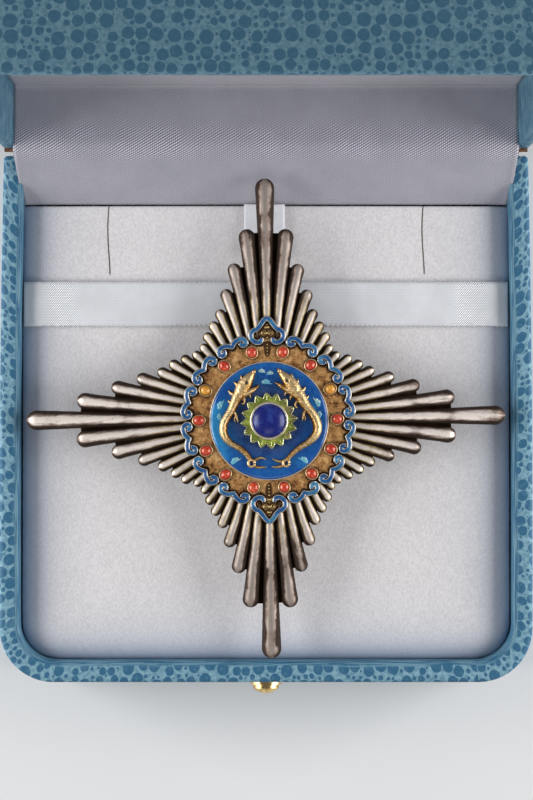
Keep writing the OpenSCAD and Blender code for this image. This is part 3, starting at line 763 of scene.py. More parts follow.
def case_outline(half, front, back, corner, square, bow):
    """The case in plan, run round once: round corners of radius corner at the front and small ones of
    radius square at the back, with the sides drawn in by bow at the back end along a parabola."""
    steps, along = 14, 16
    side = np.linspace(0, 1, along + 2)[1:-1]
    right = np.stack([np.full(along, half), front + corner + (back - square - front - corner) * side], -1)
    rear = np.stack([half - square - 2 * (half - square) * side, np.full(along, back)], -1)
    left = np.stack([-right[::-1, 0], right[::-1, 1]], -1)
    near = np.stack([-half + corner + 2 * (half - corner) * side, np.full(along, front)], -1)
    rim = np.concatenate([
        arc((half - corner, front + corner), corner, -90, 0, steps), right,
        arc((half - square, back - square), square, 0, 90, 5), rear,
        arc((-half + square, back - square), square, 90, 180, 5), left,
        arc((-half + corner, front + corner), corner, 180, 270, steps), near])
    middle = front + 0.34 * (back - front)
    fade = ((rim[:, 1] - middle) / (back - middle)) ** 2 * np.sign(rim[:, 1] - middle).clip(0.35)
    rim[:, 0] -= np.sign(rim[:, 0]) * bow * (fade - 0.36)
    return rim


def covered_shell(low, high, floor, walls, inner_corner, bow, wrap=0.3):
    """A covered tray: the outline is carried up the outer wall, over a rounded rim and down the inner wall.
    low and high are its height, floor the inside's level, and wrap the share of the wall that its rounded
    inner edge takes. With it come the paper's coordinates: the run along the outline, and the run from the
    rim's middle; and the run after which the paper meets itself."""
    half, front, back = TRAY_HIGH[0], TRAY_LOW[1], TRAY_HIGH[1]
    outer = case_outline(half, front, back, CORNER_R, BACK_R, bow)
    inner = case_outline(half - walls[0], front + walls[1], back - walls[2], inner_corner, INNER_BACK_R, bow)
    thick = walls[0]
    sign = 1.0 if high > low else -1.0
    turn = np.radians(np.linspace(0, 90, 6))
    edge = EDGE_SHARE
    rows = [(edge * 1.02, low)]
    rows += [(edge * (1 - math.sin(a)), low + sign * thick * edge * (1 - math.cos(a))) for a in turn]
    rows += [(0.0, low + (high - low) * t) for t in (0.3, 0.6, 0.85)]
    rows += [(edge * (1 - math.cos(a)), high - sign * thick * edge * (1 - math.sin(a))) for a in turn]
    rows += [(0.5, high + sign * 0.02)]
    rows += [(1 - wrap * (1 - math.sin(a)), high - sign * thick * wrap * (1 - math.cos(a))) for a in turn]
    rows += [(1.0, high + (floor - high) * t) for t in (0.35, 0.7, 1.0)]
    share, height = np.array(rows).T
    plan = outer + (inner - outer) * share[:, None, None]
    rings = np.concatenate([plan, np.broadcast_to(height[:, None, None], plan.shape[:2] + (1,))], -1)
    along = run_along(outer)
    across = np.concatenate([[0], np.cumsum(np.hypot(np.diff(share) * thick, np.diff(height)))])
    across -= across[np.argmax(share >= 0.5)]
    paper = np.stack(np.meshgrid(along, across, indexing="xy"), -1).reshape(-1, 2) * MM
    return closed_rings(rings), paper, (along[-1] + np.linalg.norm(outer[-1] - outer[0])) * MM


def opened(corners):
    """A place on the shut lid turned open by a right angle about the hinge rod."""
    y, z = corners[:, 1] - HINGE[1], corners[:, 2] - HINGE[2]
    return np.stack([corners[:, 0], HINGE[1] + z, HINGE[2] - y], -1)


class STAR_OT_case(bpy.types.Operator):
    """Covers the case's base and lid with printed paper"""

    bl_idname = "star.case"
    bl_label = "Covered case"

    def execute(self, context):
        bow = case_props().bow / MM
        solid, paper, seam = covered_shell(0.0, RIM_Z, TRAY_FLOOR, TRAY_WALLS, TRAY_INNER_R, bow)
        cover = paper_material("base_paper", 0.7, 1.3, (110.0, 2600.0, 1.0))
        build("covered_base", [solid], cover, BASE, ["base_tray"], uv=paper, seam=seam,
              lie=[0, 1])
        low = RIM_Z + 2 * (HINGE[2] - RIM_Z)
        solid, paper, seam = covered_shell(low + LID_H, low, low + LID_H - LID_TOP, LID_WALLS,
                                           CORNER_R - LID_WALLS[0], bow, wrap=0.35)
        # The lid's paper is faded and darkened, the darkening being painted shade
        cover = paper_material("lid_paper", 0.3, 1.2, (420.0, 300.0, 1.0), 0.3)
        build("covered_lid", [solid], cover, LID, ["lid_shell"], place=opened, uv=paper,
              seam=seam, lie=[0, 2])
        return {"FINISHED"}


class STAR_OT_metalwork(bpy.types.Operator):
    """Finishes the hinge, the push button and the hidden pin"""

    bl_idname = "star.metalwork"
    bl_label = "Hinge and button"

    def execute(self, context):
        steel, brass = steel_material(), brass_material()
        silver = metal_material("pin_silver", (0.7, 0.67, 0.62), (0.08, 0.05, 0.03), -6.0, -3.0, 500.0, 0.3,
                                0.35)
        finishes = {"hinge_leaf_base": steel, "hinge_leaf_lid": steel, "hinge_rod": steel,
                    "button_collar": brass, "push_button": brass, "star_pin": silver}
        for node, material in finishes.items():
            NODES[node].data.materials.clear()
            NODES[node].data.materials.append(material)
        return {"FINISHED"}


# Soft goods, in millimetres

SLIT_X = 30.6
SLIT_LENGTH = 13.6
SLIT_DEEP = 0.9
# Width and drop of the pad's rolled edges, and the radius of the small roll at its rear edge
PAD_ROLL = 7.0
PAD_DROP = 2.1
REAR_ROLL = 0.6
# How far the pad reaches past its solid at the sides and the front, and the radius of its front corners
PAD_PRESS = 0.3
PAD_CORNER = 6.9
# Distance over which the walls shade the pad
WALL_SHADE = 4.6
# Height of the ribbon's underside over the pad's flat top
RIBBON_GAP = 0.3


def pad_lines(coarse):
    """The grid's lines across and along the pad: close together at the rolled edges and at the slits."""
    half, rear, near = PAD_HIGH[0] + PAD_PRESS, PAD_HIGH[1], PAD_LOW[1] - PAD_PRESS
    roll = PAD_ROLL * (1 - np.cos(np.radians(np.linspace(0, 90, 9 if not coarse else 4))))
    if coarse:
        across = np.linspace(-half + PAD_ROLL, half - PAD_ROLL, 34)
        along = np.linspace(near + PAD_ROLL, rear - 1.0, 32)
    else:
        slit = np.array([-0.9, -0.5, -0.3, -0.2, -0.13, -0.07, 0, 0.07, 0.13, 0.2, 0.3, 0.5, 0.9])
        even = np.linspace(-half + PAD_ROLL, half - PAD_ROLL, 150)
        even = even[np.abs(np.abs(even) - SLIT_X) > 1.1]
        across = np.concatenate([even, SLIT_X + slit, -SLIT_X + slit])
        end = np.array([-0.5, -0.2, 0, 0.2, 0.5]) + rear - SLIT_LENGTH
        even = np.linspace(near + PAD_ROLL, rear - 1.0, 140)
        along = np.concatenate([even[np.abs(even - rear + SLIT_LENGTH) > 0.7], end])
    across = np.unique(np.round(np.concatenate([-half + roll, across, half - roll]), 4))
    along = np.concatenate([near + roll, along, [rear - REAR_ROLL, rear - 0.3, rear - 0.1, rear]])
    along = np.unique(np.round(along, 4))
    return across, along


def pad_surface(coarse=False):
    """The pad: a flat top whose height falls by drop (1 - sqrt(1 - (1 - d / roll)^2)) within roll of its
    sides and front, d being the distance to the outline, with two slits let in from the rear edge. It
    returns the solid and how near each corner is to a slit and to a wall."""
    across, along = pad_lines(coarse)
    half, near, rear = PAD_HIGH[0] + PAD_PRESS, PAD_LOW[1] - PAD_PRESS, PAD_HIGH[1]
    x, y = np.meshgrid(across, along, indexing="ij")
    inset = np.clip(near + PAD_CORNER - y, 0, PAD_CORNER)
    limit = half - PAD_CORNER + np.sqrt(PAD_CORNER**2 - inset**2)
    x = x / half * limit
    dx = np.abs(x) - (half - PAD_CORNER)
    dy = (near + PAD_CORNER) - y
    corner = np.hypot(np.clip(dx, 0, None), np.clip(dy, 0, None))
    edge = np.where((dx > 0) & (dy > 0), PAD_CORNER - corner, np.minimum(half - np.abs(x), y - near))
    edge = np.clip(edge, 0, None)
    # Nearness to the walls, for the painted shade and reflection there
    wall = np.exp(-edge / WALL_SHADE)
    edge = np.clip(edge, 0, PAD_ROLL)
    fall = PAD_DROP * (1 - np.sqrt(np.clip(1 - (1 - edge / PAD_ROLL) ** 2, 0, None)))
    back = np.clip(rear - y, 0, REAR_ROLL)
    fall += REAR_ROLL - np.sqrt(np.clip(REAR_ROLL**2 - (REAR_ROLL - back) ** 2, 0, None))
    top = PAD_TOP - fall
    slit = np.zeros_like(top)
    if not coarse:
        sway = 0.22 * np.sin((y - rear) * 0.33) * np.exp(-((np.abs(x) - SLIT_X) / 3) ** 2)
        x = x + sway
        gap = np.abs(np.abs(x - sway) - SLIT_X)
        run = np.clip((y - (rear - SLIT_LENGTH)) / 0.3, 0, 1)
        top -= SLIT_DEEP * np.exp(-(gap / 0.085) ** 4) * run
        top -= 0.10 * np.exp(-(gap / 0.8) ** 2) * run
        slit = np.exp(-(gap / 0.13) ** 2) * run
    grid = np.stack([x, y, top], -1)
    rows, cols = grid.shape[:2]
    number = np.arange(rows * cols).reshape(rows, cols)
    rim = np.concatenate([number[:-1, 0], number[-1, :-1], number[:0:-1, -1], number[0, :0:-1]])
    corners = grid.reshape(-1, 3)
    levels = np.linspace(PAD_TOP - PAD_DROP - 2, PAD_LOW[2], 4)
    walls = np.concatenate([corners[rim] * [1, 1, 0] + [0, 0, z] for z in levels])
    count, start = len(rim), rows * cols
    loops = [rim] + [start + k * count + np.arange(count) for k in range(4)]
    quads = [grid_faces(rows, cols, wrap=False)[:, ::-1]]
    for upper, lower in zip(loops[:-1], loops[1:]):
        quads.append(np.stack([upper, lower, np.roll(lower, -1), np.roll(upper, -1)], -1))
    marks = {"slit": np.concatenate([slit.ravel(), np.zeros(len(walls))]),
             "wall": np.concatenate([wall.ravel(), np.ones(len(walls))])}
    return (np.concatenate([corners, walls]), np.concatenate(quads)[:, ::-1], [loops[-1][::-1]]), marks


# How many times larger the pad's cloth is simulated, its pressure and its number of steps
CLOTH_SIZE = 10.0
CLOTH_PRESSURE = 4.0
CLOTH_STEPS = 20


def swell(corners, quads, ends):
    """How far the padding's pressure moves each place: a cloth simulation of the pad with its lower walls
    held, run for CLOTH_STEPS steps and capped."""
    mesh = bpy.data.meshes.new("pad_cloth")
    faces = quads.tolist() + [end.tolist() for end in ends]
    mesh.from_pydata((corners * MM * CLOTH_SIZE).tolist(), [], faces)
    cloth = bpy.data.objects.new("pad_cloth", mesh)
    bpy.context.scene.collection.objects.link(cloth)
    held = cloth.vertex_groups.new(name="held")
    held.add(np.where(corners[:, 2] < PAD_TOP - PAD_DROP + 0.01)[0].tolist(), 1.0, "ADD")
    settings = cloth.modifiers.new("Cloth", "CLOTH").settings
    settings.vertex_group_mass = "held"
    settings.use_pressure = True
    settings.uniform_pressure_force = CLOTH_PRESSURE
    settings.effector_weights.gravity = 0.0
    settings.quality = 5
    scene = bpy.context.scene
    for step in range(1, CLOTH_STEPS + 1):
        scene.frame_set(step)
    moved = cloth.evaluated_get(bpy.context.evaluated_depsgraph_get()).to_mesh()
    after = np.zeros(len(corners) * 3)
    moved.vertices.foreach_get("co", after)
    after = after.reshape(-1, 3) / MM / CLOTH_SIZE
    scene.frame_set(1)
    bpy.data.objects.remove(cloth)
    bpy.data.meshes.remove(mesh)
    shift = after - corners
    length = np.linalg.norm(shift, axis=1)[:, None] + 1e-9
    cap = soft_props().crown_cap / MM
    return shift / length * cap * np.tanh(length / cap)


def spread(shift, known, wanted):
    """Carries moves known at some places to others, by the nearest four weighted by nearness."""
    tree = KDTree(len(known))
    for index, place in enumerate(known):
        tree.insert(Vector(place), index)
    tree.balance()
    near = [tree.find_n(Vector(place), 4) for place in wanted]
    index = np.array([[hit[1] for hit in hits] for hits in near])
    weight = 1 / (np.array([[hit[2] for hit in hits] for hits in near]) + 0.3)
    weight /= weight.sum(1)[:, None]
    return (shift[index] * weight[..., None]).sum(1)


class STAR_OT_pad(bpy.types.Operator):
    """Makes the velvet pad, swollen by its padding"""

    bl_idname = "star.pad"
    bl_label = "Velvet pad"

    def execute(self, context):
        (corners, quads, ends), marks = pad_surface()
        rough, _ = pad_surface(coarse=True)
        move = swell(*rough)
        shift = spread(move, rough[0], corners)
        shift[corners[:, 2] < PAD_TOP - PAD_DROP - 1] = 0
        corners = corners + shift
        pad = build("velvet_pad", [(corners, quads, ends)], velvet_material(), BASE, ["pad"],
                    marks=marks)
        return {"FINISHED"}


def cloth_strip(line, lows, highs, thick, across_steps, cut=None, flutter=None):
    """A strip of cloth: a middle line in the plane of its length and height, carried across from lows to
    highs, with its underside thick below, as a closed solid. cut moves the side edges along the strip, and
    flutter lifts it. It returns the solid, with its cloth coordinates in metres."""
    step = np.gradient(line, axis=0)
    step /= np.linalg.norm(step, axis=1)[:, None]
    normal = np.stack([-step[:, 1], step[:, 0]], -1)
    run = run_along(line)
    v = np.linspace(0, 1, across_steps)
    across = lows[:, None] + (highs - lows)[:, None] * v[None, :]
    if cut is not None:
        across = across + cut(run[:, None], v[None, :])
    lift = np.zeros_like(across) if flutter is None else flutter(run[:, None], v[None, :])
    top = line[:, None, :] + normal[:, None, :] * (lift[..., None] + thick / 2)
    under = line[:, None, :] + normal[:, None, :] * (lift[..., None] - thick / 2)
    ring_a = np.concatenate([across, across[:, ::-1]], 1)
    ring = np.concatenate([top, under[:, ::-1]], 1)
    uv = np.stack([ring_a * MM, np.broadcast_to(run[:, None], ring_a.shape) * MM], -1).reshape(-1, 2)
    return ring_a, ring, uv, run[-1]


# Thickness of the lid's lining in the solids
PANEL_T = 1.2


class STAR_OT_lining(bpy.types.Operator):
    """Lays the satin from the pad's rear edge over the back wall and up the lid's panel"""

    bl_idname = "star.lining"
    bl_label = "Satin lining"

    def execute(self, context):
        p = soft_props()
        thick = p.satin_t / MM
        floor_z = PANEL_LOW[2] + PANEL_T - thick / 2
        wall_y = PANEL_HIGH[1] - PANEL_T + thick / 2
        low = np.array([SATIN_LOW[1] - 0.12, SATIN_LOW[2] + 0.1])
        knee = np.array([PANEL_LOW[1] - 0.7, floor_z - 0.35])
        slope = low + (knee - low) * np.linspace(0, 1, 26)[:, None]
        flat = np.array([[PANEL_LOW[1] + 0.5, floor_z - 0.02], [PANEL_LOW[1] + 1.6, floor_z]])
        level = np.stack([np.linspace(PANEL_LOW[1] + 2.5, wall_y - 1.6, 22), np.full(22, floor_z)], -1)
        bend = arc((wall_y - 1.1, floor_z + 1.1), 1.1, -90, 0, 7)
        up = np.stack([np.full(50, wall_y), np.linspace(floor_z + 1.6, PANEL_HIGH[2] - 0.4, 50)], -1)
        line = np.concatenate([slope, flat, level, bend, up])
        half_low, half_high = SATIN_HIGH[0] - 0.1, PANEL_HIGH[0] - 0.05
        share = np.clip((line[:, 0] - low[0]) / (knee[0] - low[0]), 0, 1)
        half = half_low + (half_high - half_low) * share**0.8
        corner_r = CORNER_R - LID_WALLS[0]
        rise = np.clip(line[:, 1] - (PANEL_HIGH[2] - corner_r), 0, corner_r - 0.45)
        half = half - (corner_r - np.sqrt(corner_r**2 - rise**2))

        def flutter(run, v):
            """Soft creases across the slope, and sides that curl up a little where nothing holds them."""
            loose = np.exp(-((run - 7.5) / 6.0) ** 2)
            edge = np.exp(-np.minimum(v, 1 - v) * 100 / 1.1)
            ripple = np.sin(v * 37 + np.sin(run * 0.9) * 0.8) * np.sin(v * 11 + 1) * 0.05
            return loose * (0.55 * edge + ripple)

        side, ring, uv, length = cloth_strip(line, -half, half, thick, 130, flutter=flutter)
        solid = closed_rings(np.stack([side, ring[..., 0], ring[..., 1]], -1))
        # The lining's painted highlight lies on the floats round the bend from the slope to the lid's floor
        satin = satin_material("lining_satin", p.satin, 1900.0, 0.6, 0.34, 0.17, (0.0, 0.0122, 0.0160), 1.15)
        lining = build("satin_lining", [solid], satin, None, ["base_lining", "lid_lining"],
                       uv=uv)
        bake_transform(lining)
        return {"FINISHED"}


class STAR_OT_ribbon(bpy.types.Operator):
    """Lays the picot ribbon across the pad, and the pull tab at its rear edge"""

    bl_idname = "star.ribbon"
    bl_label = "Ribbon and tab"

    def execute(self, context):
        p = soft_props()
        thick = p.ribbon_t / MM
        level = PAD_TOP + RIBBON_GAP + thick / 2
        reach = PAD_HIGH[0] + PAD_PRESS - PAD_ROLL
        a = np.radians(np.linspace(28, 90, 14))
        over = level - PAD_TOP
        right = np.stack([reach + (PAD_ROLL + over) * np.cos(a),
                          level - PAD_DROP + PAD_DROP * np.sin(a)], -1)
        flat = np.stack([np.linspace(reach, -reach, 640)[1:-1], np.full(638, level)], -1)
        line = np.concatenate([right, flat, right[::-1] * [-1, 1]])[::-1]
        near = np.full(len(line), RIBBON_LOW[1] + 0.1)
        far = np.full(len(line), RIBBON_HIGH[1] - 0.1)

        def picots(run, v):
            """Small loops along both edges."""
            loop = 0.16 * np.maximum(0, np.sin(run * 2 * math.pi / 0.95))
            return np.where(v < 0.001, -loop, np.where(v > 0.999, loop, 0))

        def ripple(run, v):
            """A faint slackness of the ribbon."""
            return 0.05 * np.sin(run * 0.16 + 1.2) * np.sin(v * math.pi) + 0.02 * np.sin(run * 0.7)

        side, ring, uv, length = cloth_strip(line, near, far, thick, 13, cut=picots, flutter=ripple)
        solid = closed_rings(np.stack([ring[..., 0], side, ring[..., 1]], -1))
        middle = length / 2
        # The ribbon's painted highlight lies on the floats near both ends
        white = satin_material("ribbon_satin", p.ribbon, 2300.0, 0.9, 0.36, 0.09,
                               (length * MM / 2, (middle - 9.0) * MM, (middle - 5.5) * MM), 1.0)
        build("satin_ribbon", [solid], white, BASE, ["pad_ribbon"], uv=uv)
        tab_line = np.stack([np.linspace(TAB_LOW[1], TAB_HIGH[1], 30), np.full(30, level - 0.05)], -1)
        tab_line[:, 1] += 0.12 * np.sin(np.linspace(0, math.pi, 30))
        low, high = np.full(30, TAB_LOW[0]), np.full(30, TAB_HIGH[0])
        side, ring, uv, _ = cloth_strip(tab_line, low, high, thick, 13)
        solid = closed_rings(np.stack([side, ring[..., 0], ring[..., 1]], -1))
        smooth_satin = satin_material("tab_satin", p.ribbon, 3400.0, 0.9, 0.34, 0.04)
        build("satin_tab", [solid], smooth_satin, BASE, ["pull_tab"], uv=uv)
        return {"FINISHED"}


# Star, in its own frame and in millimetres

RAYS = 60
RAY_STEP = 360 / RAYS
# Reach of a ray as a share of the long arms', for its angle from the nearest of them
TIP_STEPS = np.array([0, 6, 12, 18, 24, 30, 36, 42, 45])
TIP_SHARES = np.array([1, 0.795, 0.659, 0.563, 0.495, 0.464, 0.438, 0.411, 0.405])
RAY_ROOT_W = 1.72
RAY_TIP_W = 3.75
RAY_START_R = 12.6
# Height of a ray's back: a base and a share of its width
RAY_BASE_H = 0.35
RAY_RISE = 0.46
RAY_SIDES = 14
RAY_STEPS = 13
RAY_ROUND = 0.9
# Angles at which a ray's round tip is stepped, and how much its end is darkened as painted shade
RAY_TIP = np.radians([0, 14, 28, 42, 55, 66, 76, 84, 88.5])
TIP_SHADE = 0.32
STONES = 14
PITCH = 360 / STONES
# Reach of the border's lobes, width of its ridge, and reach of its pointed heads
BORDER_R = 16.3
RIDGE_W = 0.9
HEAD_R = 19.5
# Radius of the boss under the medallion, of the ring of stones, and of a stone's cup
BOSS_R = 14.6
STONE_RING_R = float(np.linalg.norm(LEVEL) / 2)
CUP_R = 1.1


def ray_reach(index):
    """Reach of a ray, from its angle to the nearest long arm and the side that it is on."""
    turn = index * RAY_STEP
    angle = turn % 90
    reach = ARM_R * np.interp(min(angle, 90 - angle), TIP_STEPS, TIP_SHARES)
    return reach - RAY_SHIFT * math.cos(math.radians(turn))


def ray_width(r):
    """Width of a ray at radius r: a straight taper."""
    share = (r - BORDER_R) / (ARM_R - RAY_TIP_W / 2 - BORDER_R)
    return RAY_ROOT_W + (RAY_TIP_W - RAY_ROOT_W) * np.clip(share, -0.2, 1)


def ray(index, rng):
    """One ray: a half-round bar that widens outwards and closes in a round tip, with a soft ridge."""
    reach = ray_reach(index) + rng.uniform(-0.12, 0.12)
    width = ray_width(reach) * rng.uniform(0.97, 1.02)
    straight = np.linspace(RAY_START_R, reach - width / 2, RAY_STEPS + 1)[:-1]
    r = np.concatenate([straight, reach - width / 2 + width / 2 * np.sin(RAY_TIP)])
    w = np.concatenate([ray_width(straight), width * np.cos(RAY_TIP)])
    w[:RAY_STEPS] *= width / ray_width(reach)
    h = RAY_BASE_H + RAY_RISE * w
    h[RAY_STEPS:] = (RAY_BASE_H + RAY_RISE * width) * np.cos(RAY_TIP) ** 0.85
    path = np.stack([r, np.zeros_like(r)], -1)
    lean = rng.uniform(-0.18, 0.18)
    return turned_solid(half_round(path, w, h, 0.0, RAY_SIDES, RAY_ROUND), -index * RAY_STEP + lean)


def ray_marks(rays):
    """Values for each corner of the rays: its place along and across its own ray, in millimetres and set
    apart from ray to ray, and how near it is to the bright crest: 1 - (cos a - shift)^2, less a share of
    sin^2 round the tip as painted shade, where the crest lies a little towards the nearest side arm as
    painted light."""
    share = np.cos(np.linspace(0, math.pi, RAY_SIDES + 1))
    tip_shade = TIP_SHADE * np.concatenate([np.zeros(RAY_STEPS), np.sin(RAY_TIP) ** 2])
    marks = {"crest": [], "along": [], "across": []}
    for index, (corners, _, _) in enumerate(rays):
        angle = index * RAY_STEP
        # Painted light: the bright crest is moved towards the nearest side arm
        lean = math.sin(2 * math.radians(angle))
        shift = -0.2 * lean / (abs(lean) + 0.2)
        place = turned(corners, angle)
        marks["crest"].append((1 - (share - shift) ** 2 - tip_shade[:, None]).ravel())
        marks["along"].append(place[:, 0])
        marks["across"].append(place[:, 1] + 7.3 * index)
    return {name: np.concatenate(values) for name, values in marks.items()}


def web():
    """The sheet behind the rays, stepped back between neighbours."""
    turns = RAYS * 6
    index = np.floor(np.degrees(full_turn(turns)) / RAY_STEP).astype(int)
    reach = np.array([min(ray_reach(i), ray_reach(i + 1)) for i in range(RAYS)])
    edge = reach[index % RAYS] - 1.0
    return lathe([0.1, edge - 0.1, edge, edge, edge - 0.1, 0.1], [0.02, 0.02, 0.08, 0.5, 0.58, 0.6], turns)


def brace_half():
    """Right half of a border brace: a swell from the inward kink, a lobe, and a rolled end."""
    half = BORDER_R * math.sin(math.radians(PITCH / 2))
    lobe_r, lobe_x, swell_r, roll_r = 0.27 * half, 0.5 * half, 0.7 * half, 0.5
    swell_a = math.degrees(math.acos(lobe_x / swell_r))
    return np.concatenate([
        arc((lobe_x, BORDER_R - swell_r), swell_r, 180 - swell_a, 92, 9),
        arc((lobe_x, BORDER_R - lobe_r), lobe_r, 88, -20, 12),
        arc((lobe_x + lobe_r - roll_r, BORDER_R - lobe_r), roll_r, -30, -200, 13)])


def head_half():
    """Right half of a pointed head: a bowed flank, a shoulder, a lobe and its rolled end."""
    flank = smooth_path([(0, HEAD_R), (0.5, HEAD_R - 0.32), (1.0, HEAD_R - 0.92), (1.42, HEAD_R - 1.55)], 6)
    lobe = arc((1.85, HEAD_R - 3.4), 1.27, 84, -28, 16)
    roll = arc((1.8, HEAD_R - 3.42), 1.25, -34, -100, 9)
    hook = arc((1.62, HEAD_R - 4.18), 0.48, -110, -215, 7)
    return np.concatenate([flank, lobe, roll, hook])


def border_path(index):
    """Middle line of border piece index, from its left rolled end to its right one."""
    half = head_half() if index % (STONES // 2) == 0 else brace_half()
    left = half[:0:-1] * [-1, 1]
    return turned(np.concatenate([left, half]), index * PITCH)


def border_places(out=0.0):
    """Places along the whole border, moved outwards from its middle line."""
    paths = [border_path(index) for index in range(STONES)]
    return np.concatenate([path + path_normals(path) * out for path in paths])


def plate_edge(turns):
    """The plate's outline as a radius for each angle: the border's outer edge, or the valley between."""
    places = border_places(RIDGE_W / 2 + 0.1)
    around = np.arctan2(places[:, 1], places[:, 0]) % (2 * math.pi)
    step = np.round(around / (2 * math.pi) * turns).astype(int) % turns
    reach = np.full(turns, 15.1)
    np.maximum.at(reach, step, np.linalg.norm(places, axis=1))
    return np.maximum(reach, (np.roll(reach, 1) + np.roll(reach, -1)) / 2)


def ray_material(bright, warm, yellow_sides, dark):
    """Worn silver: bright on each ray's crest, pinkish brown on its sides and nearly black at its foot,
    partly tarnish and partly painted shade; with stains drawn out along the ray, pits, yellower sides near
    the medallion, and darker upright arms as painted shade."""
    material, s, at, surface = new_material("ray_silver", Metallic=0.45)
    spot = at["Object"]
    crest, along, across = (s.mark(name) for name in ("crest", "along", "across"))
    drawn = s.node("ShaderNodeCombineXYZ", {0: s.times(along, 0.22), 1: s.times(across, 1.7)}).outputs[0]
    streaks = s.minus(s.noise(drawn, 1.0, 4.0, 0.65), 0.5)
    blotch = s.minus(s.noise(spot, 420.0, 5.0, 0.7), 0.5)
    pits = s.noise(spot, 2300.0, 4.0, 0.8)
    x, y, _ = s.split(spot)
    # Painted shade: the upright arms, most of all their outer parts, get darker crests and more stains and
    # blotches
    upright = s.step(s.minus(s.size(y), s.times(s.size(x), 1.6)), -0.006, 0.010)
    outer = s.times(upright, s.step(s.size(y), 0.014, 0.032))
    level = s.plus(crest, s.times(blotch, s.plus(s.times(outer, 0.5), 0.35)))
    level = s.plus(level, s.times(streaks, 0.75))
    stains_and_shade = s.times(s.plus(s.times(outer, 0.35), 0.65),
                     s.step(s.noise(spot, 130.0, 3.0, 0.6), 0.5, 0.68, 0.02, 0.26))
    level = s.minus(level, s.plus(stains_and_shade, s.step(pits, 0.60, 0.72, 0.0, 0.35)))
    # Yellower sides near the medallion
    sides = s.mix(s.step(along, 17.0, 27.0), rgba(yellow_sides), rgba(warm))
    # Across each ray: nearly black at its foot and pinkish brown on its sides, partly tarnish and partly
    # painted shade
    colour = s.mix(s.step(level, 0.46, 0.74), rgba(dark), sides)
    shaded = s.plus(s.times(upright, 0.3), s.times(outer, 0.5))
    top = s.mix(shaded, rgba(bright), rgba((0.21, 0.165, 0.135)))
    colour = s.mix(s.step(level, 0.64, 0.95), colour, top)
    scuffs = s.noise(spot, 4200.0, 2.0, 0.7)
    shine = s.plus(s.step(scuffs, 0.3, 0.7, 0.44, 0.58), s.step(level, 0.9, 0.5, 0.0, 0.25))
    join(s, surface, Base_Color=colour, Roughness=shine,
         Normal=s.bump(s.plus(scuffs, s.times(streaks, 2.5)), 0.35, 0.00006))
    return material


class STAR_OT_rays(bpy.types.Operator):
    """Makes the rays, the sheet behind them and the boss under the medallion"""

    bl_idname = "star.rays"
    bl_label = "Rays"

    def execute(self, context):
        p = star_props()
        rng = np.random.default_rng(SEED)
        silver = ray_material(p.silver, (0.30, 0.22, 0.18), (0.55, 0.41, 0.16), p.tarnish)
        rays = [ray(i, rng) for i in range(RAYS)]
        build("silver_rays", rays, silver, BASE, ["star_rays"], place=on_rays,
              marks=ray_marks(rays))
        # The sheet behind the rays is nearly black: tarnish in the hollows, deepened as painted shade
        # between the rays
        dark = metal_material("web_tarnish", (0.035, 0.02, 0.012), rgba(p.tarnish, 0.4), 0.0, 2.0, 500.0,
                              0.5, 0.6)
        boss = lathe([0.1, BOSS_R - 0.2, BOSS_R, BOSS_R, BOSS_R - 0.2, 0.1],
                     [0.05, 0.05, 0.2, SEAT_Z - 0.2, SEAT_Z, SEAT_Z])
        build("ray_web", [web(), boss], dark, BASE, place=on_rays)
        return {"FINISHED"}


def plate_material(gilt):
    """Sanded gilt: grainy golden brown with lighter and darker clouds, and black-brown painted shade lying
    against the border and round the cups."""
    material, s, at, surface = new_material("gilt_plate", Metallic=0.75)
    spot = at["Object"]
    cloud = s.noise(spot, 480.0, 5.0, 0.7)
    grain = s.noise(spot, 2600.0, 3.0, 0.8)
    tone = s.plus(s.times(cloud, 0.65), s.times(grain, 0.35))
    colour = s.mix(s.step(tone, 0.40, 0.50), rgba((0.20, 0.075, 0.03)), rgba(gilt))
    colour = s.mix(s.step(tone, 0.50, 0.60), colour, rgba((0.93, 0.58, 0.25)))
    # Painted shade: black-brown in the crevices along the border and round the cups
    ragged = s.plus(s.mark("away"), s.times(s.minus(s.noise(spot, 1100.0, 4.0, 0.7), 0.5), 1.1))
    colour = s.mix(s.step(ragged, 0.68, 0.18), colour, rgba((0.022, 0.010, 0.005)))
    join(s, surface, Base_Color=colour, Roughness=s.step(grain, 0.3, 0.7, 0.42, 0.62),
         Normal=s.bump(grain, 0.6, 0.00012))
    return material


def flat_band(path, width, height, low):
    """A low flat band with rounded edges along a path in the plane."""
    return half_round(path, width, height, low, sides=8, power=0.25)


# Dark field inside a pointed head and down to the disc. Columns: distance from the middle, width
HEAD_FIELD = [(12.1, 0.3), (12.35, 0.9), (12.8, 1.25), (13.4, 1.4), (14.7, 1.6), (15.6, 2.5),
              (16.5, 3.0), (17.4, 2.4), (18.2, 1.2), (18.6, 0.3)]
# Metals of the medallion. Columns: bright and dark colour, the heights over the plate between which the
# tarnish fades out, its grain and spread, and the roughness
PLATE_METALS = {
    "border_wire": ((0.90, 0.88, 0.82), (0.25, 0.19, 0.12), 0.2, 0.6, 900.0, 0.2, 0.28),
    "border_side": ((0.40, 0.24, 0.11), (0.06, 0.028, 0.012), -0.1, 0.5, 900.0, 0.3, 0.4),
    "patina": ((0.16, 0.085, 0.04), (0.02, 0.010, 0.006), -0.5, 0.12, 1100.0, 0.5, 0.5),
    "cup_gold": ((0.86, 0.64, 0.36), (0.08, 0.035, 0.014), 0.15, 0.66, 900.0, 0.35, 0.35),
    "scroll_gold": ((0.80, 0.56, 0.24), (0.25, 0.12, 0.04), -0.1, 0.16, 900.0, 0.2, 0.3),
    "rim_wire": ((0.78, 0.72, 0.64), (0.22, 0.16, 0.11), 0.0, 0.45, 900.0, 0.3, 0.5)}


